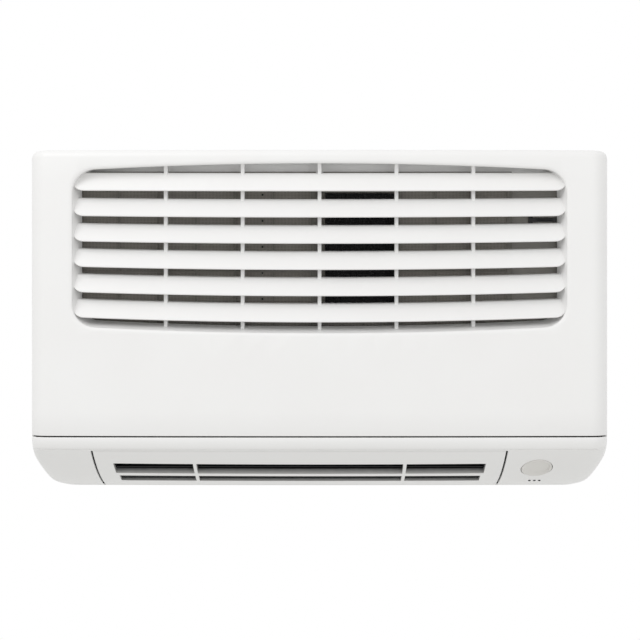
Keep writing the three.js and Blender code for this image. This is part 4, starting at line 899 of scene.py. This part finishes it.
def filter_frame(side, columns, rows):
    """A flat frame with upright and level bars."""
    low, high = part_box(f"filter_frame_{side}")
    frame_piece = sheet(f"filter_grid_{side}", high.x - low.x, high.z - low.z,
                        ((low.x + high.x) / 2, low.y, (low.z + high.z) / 2))
    edges = (X + Z) * FRAME_EDGE
    inner_low, inner_high = low + edges, high - edges
    openings = []
    for axis, along, count in ((0, X, columns), (2, Z, rows)):
        pitch = (inner_high[axis] - inner_low[axis] + FRAME_BAR) / count
        spans = [(inner_low[axis] + i * pitch, inner_low[axis] + (i + 1) * pitch - FRAME_BAR)
                 for i in range(count)]
        openings.append(spans)
        editing(frame_piece)
        for span in spans:
            for level in span:
                cut_through(level, along)
    deleted("FACE", lambda at, way: any(a < at.x < b for a, b in openings[0])
            and any(a < at.z < b for a, b in openings[1]))
    all_facing()
    finish_with(frame_piece, "SOLIDIFY", thickness=high.y - low.y, offset=-1)
    return frame_piece


for side, columns in (("left", 6), ("right", 5)):
    fitted(filter_frame(side, columns, FRAME_ROWS), grey_polypropylene, "case", "filter_grey",
           f"filter_frame_{side}")

# Woven polypropylene net: level and upright threads over dark holes. The real pitch is 0.6 mm; it
# is drawn at 1.5 mm, so that it shows.
NET_SCALE = 314.16 / 1.5
woven_net, tree, shader, place, share = two_toned("woven_net", "#4e4b47", "#96928b", 0.7)
across, upright = (node(tree, "ShaderNodeTexWave", {"bands_direction": way}, Vector=place,
                        Scale=NET_SCALE) for way in "XZ")
threads = node(tree, "ShaderNodeMath", {"operation": "MAXIMUM"}, _0=across.outputs["Fac"],
               _1=upright.outputs["Fac"])
tree.links.new(threads.outputs[0], share)
raised = node(tree, "ShaderNodeBump", Height=threads.outputs[0], Strength=0.6, Distance=0.2 * MM)
tree.links.new(raised.outputs["Normal"], shader.inputs["Normal"])
wearing(woven_net, "filter_mesh_left", "filter_mesh_right")

SPONGE_CELL, CELL_WALL, CELL_DEPTH = 4.5 * MM, 1.8 * MM, 1.1 * MM
low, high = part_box("charcoal_filter")
sponge = rounded_block("charcoal_sponge", low, high, 0.8 * MM, 1, 2)
editing(sponge)
for axis, along in ((0, X), (2, Z)):
    for step in range(1, int((high[axis] - low[axis]) / SPONGE_CELL)):
        pick("FACE", lambda at, way: way.y < -0.9)
        cut_at(low[axis] + step * SPONGE_CELL, along)
pick("FACE", lambda at, way: way.y < -0.9)
bpy.ops.mesh.inset(use_individual=True, thickness=CELL_WALL / 2, depth=-CELL_DEPTH)
smooth(sponge)
# Charcoal foam: black, dull and full of pores about 1 mm across.
charcoal_foam = moulded("charcoal_foam", "#0a0a0b", "#141415", 0.9, 1, 0.3)
fitted(sponge, charcoal_foam, "case", "charcoal", "charcoal_filter")


# ---- Sensor and studs ----
# A thermistor in a small black ABS bracket, pushed onto a peg of the filter wall, and five black
# studs that pin the left net to the ledges behind it.

# ABS, moulded black: a dull satin, a little lighter where it has been rubbed.
black_abs = moulded("black_abs", "#0e0f10", "#17181a", 0.45, 0.5)
wearing(black_abs, "room_sensor")
STUDS, STUD_PITCH, STUD_RADIUS, STUD_LENGTH = 5, -27.6 * MM, 1.1 * MM, 2 * MM
FIRST_STUD = -60.5 * MM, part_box("filter_mesh_left")[0].y - 0.9 * MM, 129.5 * MM
stud = rod("stud", STUD_RADIUS, STUD_LENGTH, FIRST_STUD, TO_FRONT, 20)
eased(stud, 0.4 * MM, 3)
studs = joined("net_studs", spread(stud, [(0, 0, i * STUD_PITCH) for i in range(STUDS)]))
fitted(smooth(studs), black_abs, "case", "black_plastic")


# ---- Chassis, duct and drain ----
# The rear frame is one black ABS moulding: back wall, fan scroll and duct. The drain pan, its spout
# and the carriers of the fan are of the same plastic, screwed or clipped to it.

# ABS, moulded black with a coarser texture than the outside: it swallows the light in the outlet.
duct_abs = moulded("duct_abs", "#17181a", "#1f2022", 0.55, 0.9, 0.04)
wearing(duct_abs, "chassis", "drain_pan", "drain_spout", "motor_bracket", "bearing_mount")

# Nitrile rubber: black, soft and dead matt.
wearing(moulded("nitrile_rubber", "#151515", "#1e1e1e", 0.85, 0.7, 0.03), "bearing_bush")


# ---- Fan, vanes and their motors ----
# The cross-flow fan and the vanes are black glass-filled ABS. Tie bars join the upright vanes in
# two banks, and a rail carries their pegs.

wearing(black_abs, "horizontal_vane", "tie_bar_left", "tie_bar_right", "vane_rail",
        *(f"vertical_vane_{i}" for i in range(1, 9)))

FAN_AXIS = Vector((0, -88, -75)) * MM
FAN_RADIUS, FAN_INNER, FAN_BLADES = 45 * MM, 35 * MM, 35
FAN_LEFT, FAN_RIGHT, FAN_DISCS = -235 * MM, 193 * MM, 7
BLADE_ARC, FAN_BLADE_WALL = 9 * MM, 1 * MM   # the radius that a blade is curved to, and its sheet
DISC_WALL, SHAFT_RADIUS, HUB_RADIUS = 2 * MM, 3 * MM, 8 * MM
fan_low, fan_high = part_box("cross_flow_fan")
fan_blade = added("fan_blade", bpy.ops.mesh.primitive_circle_add, vertices=32, radius=BLADE_ARC,
                  rotation=TO_SIDE,
                  location=(FAN_LEFT, FAN_AXIS.y + 3 * MM, FAN_AXIS.z + FAN_RADIUS - 8.2 * MM))
editing(fan_blade)
deleted("VERT", lambda at, way: at.y > FAN_AXIS.y - 1 * MM or not
        FAN_INNER < math.hypot(at.y - FAN_AXIS.y, at.z - FAN_AXIS.z) < FAN_RADIUS - 0.2 * MM)
pick_all()
extruded(FAN_RIGHT - FAN_LEFT, 0, 0)
finish_with(fan_blade, "SOLIDIFY", thickness=FAN_BLADE_WALL, offset=0)
wheel = spread(fan_blade, [(0, 0, 0)] * FAN_BLADES)
for i, blade in enumerate(wheel):
    turn = Matrix.Rotation(i * math.tau / FAN_BLADES, 4, "X")
    blade.data.transform(Matrix.Translation(FAN_AXIS) @ turn @ Matrix.Translation(-FAN_AXIS))
for i in range(FAN_DISCS):
    middle = FAN_LEFT + i / (FAN_DISCS - 1) * (FAN_RIGHT - FAN_LEFT), FAN_AXIS.y, FAN_AXIS.z
    disc = rod("fan_disc", FAN_RADIUS - 0.1 * MM, DISC_WALL, middle, vertices=48)
    if 0 < i < FAN_DISCS - 1:
        taken_out(disc, rod("eye", FAN_INNER, 4 * DISC_WALL, middle, vertices=48))
    eased(disc, 0.4 * MM)
    wheel.append(disc)
for low_x, high_x, radius in ((fan_low.x, FAN_LEFT, SHAFT_RADIUS),
                              (FAN_RIGHT, fan_high.x, HUB_RADIUS)):
    middle = (low_x + high_x) / 2, FAN_AXIS.y, FAN_AXIS.z
    stub = rod("fan_stub", radius, high_x - low_x, middle, vertices=32)
    eased(stub, 0.5 * MM)
    wheel.append(stub)
wheel = smooth(joined("fan_wheel", wheel), 40)
fitted(wheel, black_abs, "fan", "black_plastic", "cross_flow_fan")


def rolled(name, light_tone, dark_tone, roughness, grain_mm, across=(1, 1, 1)):
    """A rolled or drawn metal: fine streaks, longer the smaller a number is in across."""
    made, tree, shader, place, share = two_toned(name, light_tone, dark_tone, roughness,
                                                 Metallic=1.0)
    drawn = node(tree, "ShaderNodeMapping", Vector=place, Scale=across)
    streaks = node(tree, "ShaderNodeTexNoise", Vector=drawn.outputs[0], Scale=1000.0 / grain_mm,
                   Detail=3.0)
    tree.links.new(streaks.outputs["Fac"], share)
    sheen = node(tree, "ShaderNodeMapRange", Value=streaks.outputs["Fac"], To_Min=roughness - 0.08,
                 To_Max=roughness + 0.08)
    tree.links.new(sheen.outputs[0], shader.inputs["Roughness"])
    return made


# Galvanised steel, rolled: a blue-grey metal with soft spangle.
galvanised = rolled("galvanised_steel", "#b9bec2", "#989ea3", 0.4, 6)
# Deep-drawn steel under clear zinc, on the motor's can: brighter, with lines round it.
wearing(rolled("drawn_steel_can", "#c4c8ca", "#a9aeb1", 0.32, 1.5, (12, 1, 1)), "fan_motor")
# Zinc-plated steel: small parts, a cold grey shine.
zinc_plate = rolled("zinc_plate", "#c9ced1", "#a7adb1", 0.28, 0.8)
wearing(zinc_plate, "vane_motor")


# ---- Coils and pipes ----
# Aluminium fins on copper tubes: a level bank behind the filters and a leaning one above the fan.
# Two copper pipes leave them, sleeved in foam, and end in brass flare nuts.

# Mill-finish aluminium fins, a pale dry grey.
fin_aluminium = rolled("fin_aluminium", "#c8cacb", "#aeb1b3", 0.42, 1.2, (8, 1, 1))
# Copper, drawn and soldered: warm, browner where the torch has been.
drawn_copper = rolled("drawn_copper", "#c77b4e", "#9c5833", 0.3, 3)
# Brass, turned: yellow and bright, with fine rings.
wearing(rolled("turned_brass", "#cbb06a", "#b39450", 0.28, 0.6, (10, 1, 1)),
        "liquid_flare_nut", "gas_flare_nut")
COIL_LEFT, COIL_RIGHT, COIL_THICK = -262 * MM, 190 * MM, 26 * MM
FIN_PITCH, FIN_WALL = 1.6 * MM, 0.2 * MM   # the real sheet is only 0.1 mm thick
TUBE_PITCH, TUBE_RADIUS, TUBE_ROW = 16 * MM, 3.5 * MM, 6.5 * MM


def coil(node_name, length, tubes, place, turn):
    """A finned coil, made upright at the origin: fins, two rows of tubes and their return bends."""
    fin = rounded_block("fin", (COIL_LEFT, -COIL_THICK / 2, 0),
                        (COIL_LEFT + FIN_WALL, COIL_THICK / 2, length), 1.5 * MM, 0, 2)
    fin_count = int((COIL_RIGHT - COIL_LEFT) / FIN_PITCH)
    stack = joined(f"{node_name}_fins",
                   spread(fin, [(i * FIN_PITCH, 0, 0) for i in range(fin_count)]))
    start = (length - (tubes - 1) * TUBE_PITCH) / 2
    middle = (COIL_LEFT + COIL_RIGHT) / 2, -TUBE_ROW, start
    tube = rod("tube", TUBE_RADIUS, COIL_RIGHT - COIL_LEFT, middle, vertices=12,
               end_fill_type="NOTHING")
    rows = (0, 2 * TUBE_ROW)
    copper = spread(tube, [(0, row, i * TUBE_PITCH) for row in rows for i in range(tubes)])
    for end, side in ((COIL_LEFT, -1), (COIL_RIGHT, 1)):
        bend = added("bend", bpy.ops.mesh.primitive_circle_add, vertices=12, radius=TUBE_RADIUS,
                     rotation=TO_SIDE, location=(end, -TUBE_ROW, start))
        editing(bend)
        bpy.ops.mesh.spin(steps=8, angle=side * math.pi, axis=(0, -1, 0),
                          center=(end, -TUBE_ROW, start + TUBE_PITCH / 2))
        all_facing()
        only(bend)
        copper += spread(bend, [(0, row, i * TUBE_PITCH) for row in rows
                                for i in range(0 if side < 0 else 1, tubes - 1, 2)])
    pipework = smooth(joined(f"{node_name}_tubes", copper), 50)
    for piece, material, slot in ((stack, fin_aluminium, "coil_aluminium"),
                                  (pipework, drawn_copper, "copper_pipe")):
        fitted(placed(piece, place, turn), material, "case", slot, node_name)


coil("evaporator_front", 116 * MM, 6, (0, -139 * MM, -18 * MM), (0, 0, 0))
coil("evaporator_rear", 140 * MM, 8, (0, -23.5 * MM, -13 * MM), (math.radians(36.6), 0, 0))
wearing(drawn_copper, "liquid_pipe", "gas_pipe", "coil_sensor")
# Polyethylene foam: off-white, dull, with a fine pebbled skin.
wearing(moulded("sleeve_foam", "#d9dad8", "#c9cac8", 0.9, 1.4, 0.25),
        "liquid_insulation", "gas_insulation")


# ---- Control box ----
# A flame-retardant ABS box with a steel lid. It holds the power board, the transformer, a relay,
# the fan's capacitor and the terminals; a clamp is there for the supply cord.

# Flame-retardant ABS: a duller, greyer white than the case.
wearing(moulded("box_abs", "#d6d6d2", "#cececa", 0.6, 0.8, 0.03), "control_box", "cord_clamp")
wearing(galvanised, "control_box_lid")
wearing(zinc_plate, "lid_screw", "cabinet_screw_left", "cabinet_screw_right")
# Glass-epoxy board under green solder mask: glossy, with the weave faintly showing.
wearing(moulded("board_laminate", "#1f5a3a", "#194d31", 0.3, 0.8, 0.01),
        "control_board", "display_board")
# Phenolic: the dark bodies of the electrical parts.
wearing(moulded("phenolic", "#26282b", "#2e3034", 0.4, 0.7), "transformer", "fan_capacitor",
        "terminal_block", "push_switch", "signal_receiver")
# Polyester, moulded blue: the relay's sealed case.
wearing(moulded("relay_polyester", "#2a5fa8", "#24549a", 0.35, 0.6), "relay")


# ---- Mounting plate ----
# A pressed sheet of galvanised steel that is screwed to the wall. The unit hangs on its hooks.

plate_low, plate_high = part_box("mounting_plate")
SHEET = 1.2 * MM
HOOKS_X, HOOK_HALF, HOOK_RISE = (-150 * MM, 0, 150 * MM), 15 * MM, 10 * MM
WINDOW_X, WINDOW_HALF, WINDOW_LOW, WINDOW_HIGH = 115 * MM, 55 * MM, -60 * MM, 40 * MM
# Screw holes and slots on each side, in mm: their middle and half their width and height.
HOLES = ((100, -80, 3, 3), (100, 120, 3, 3), (100, 90, 2.4, 7), (200, -80, 3, 3), (200, 120, 3, 3),
         (200, -40, 2.4, 7), (200, 90, 2.4, 7))
# Pressed beads stiffen the sheet. Their lower left and upper right corners, in mm.
BEADS = ((-210, 66, 210, 72), (-210, -74, -110, -69), (110, -74, 210, -69),
         (-40, -85, -34, 55), (34, -85, 40, 55))
plate = rounded_block("wall_plate", (plate_low.x, -SHEET, plate_low.z),
                      (plate_high.x, 0, plate_high.z - HOOK_RISE), 9 * MM, 1, 5)
for side in (-1, 1):
    taken_out(plate, rounded_block(
        "window", (side * WINDOW_X - WINDOW_HALF, -2 * SHEET, WINDOW_LOW),
        (side * WINDOW_X + WINDOW_HALF, SHEET, WINDOW_HIGH), 8 * MM, 1, 5))
    for x, z, half_x, half_z in HOLES:
        middle, reach = Vector((side * x, 0, z)) * MM, Vector((half_x, 3, half_z)) * MM
        taken_out(plate, rounded_block("hole", middle - reach, middle + reach,
                                       min(half_x, half_z) * 0.98 * MM, 1, 5))
for low_x, low_z, high_x, high_z in BEADS:
    taken_out(plate, rounded_block("bead", (low_x * MM, -0.5 * MM, low_z * MM),
                                   (high_x * MM, 2 * MM, high_z * MM), 0.45 * MM, None, 2))
hook_foot = plate_high.z - HOOK_RISE
hooks = []
for x in HOOKS_X:
    start = x - HOOK_HALF, plate_low.y, hook_foot - SHEET
    for end in ((x + HOOK_HALF, 0, hook_foot), (x + HOOK_HALF, plate_low.y + SHEET, plate_high.z)):
        hooks.append(rounded_block("hook", start, end, 0.4 * MM, None, 2))
plate = smooth(joined("wall_plate", [plate, *hooks]))
fitted(plate, galvanised, "case", "plated_steel", "mounting_plate")
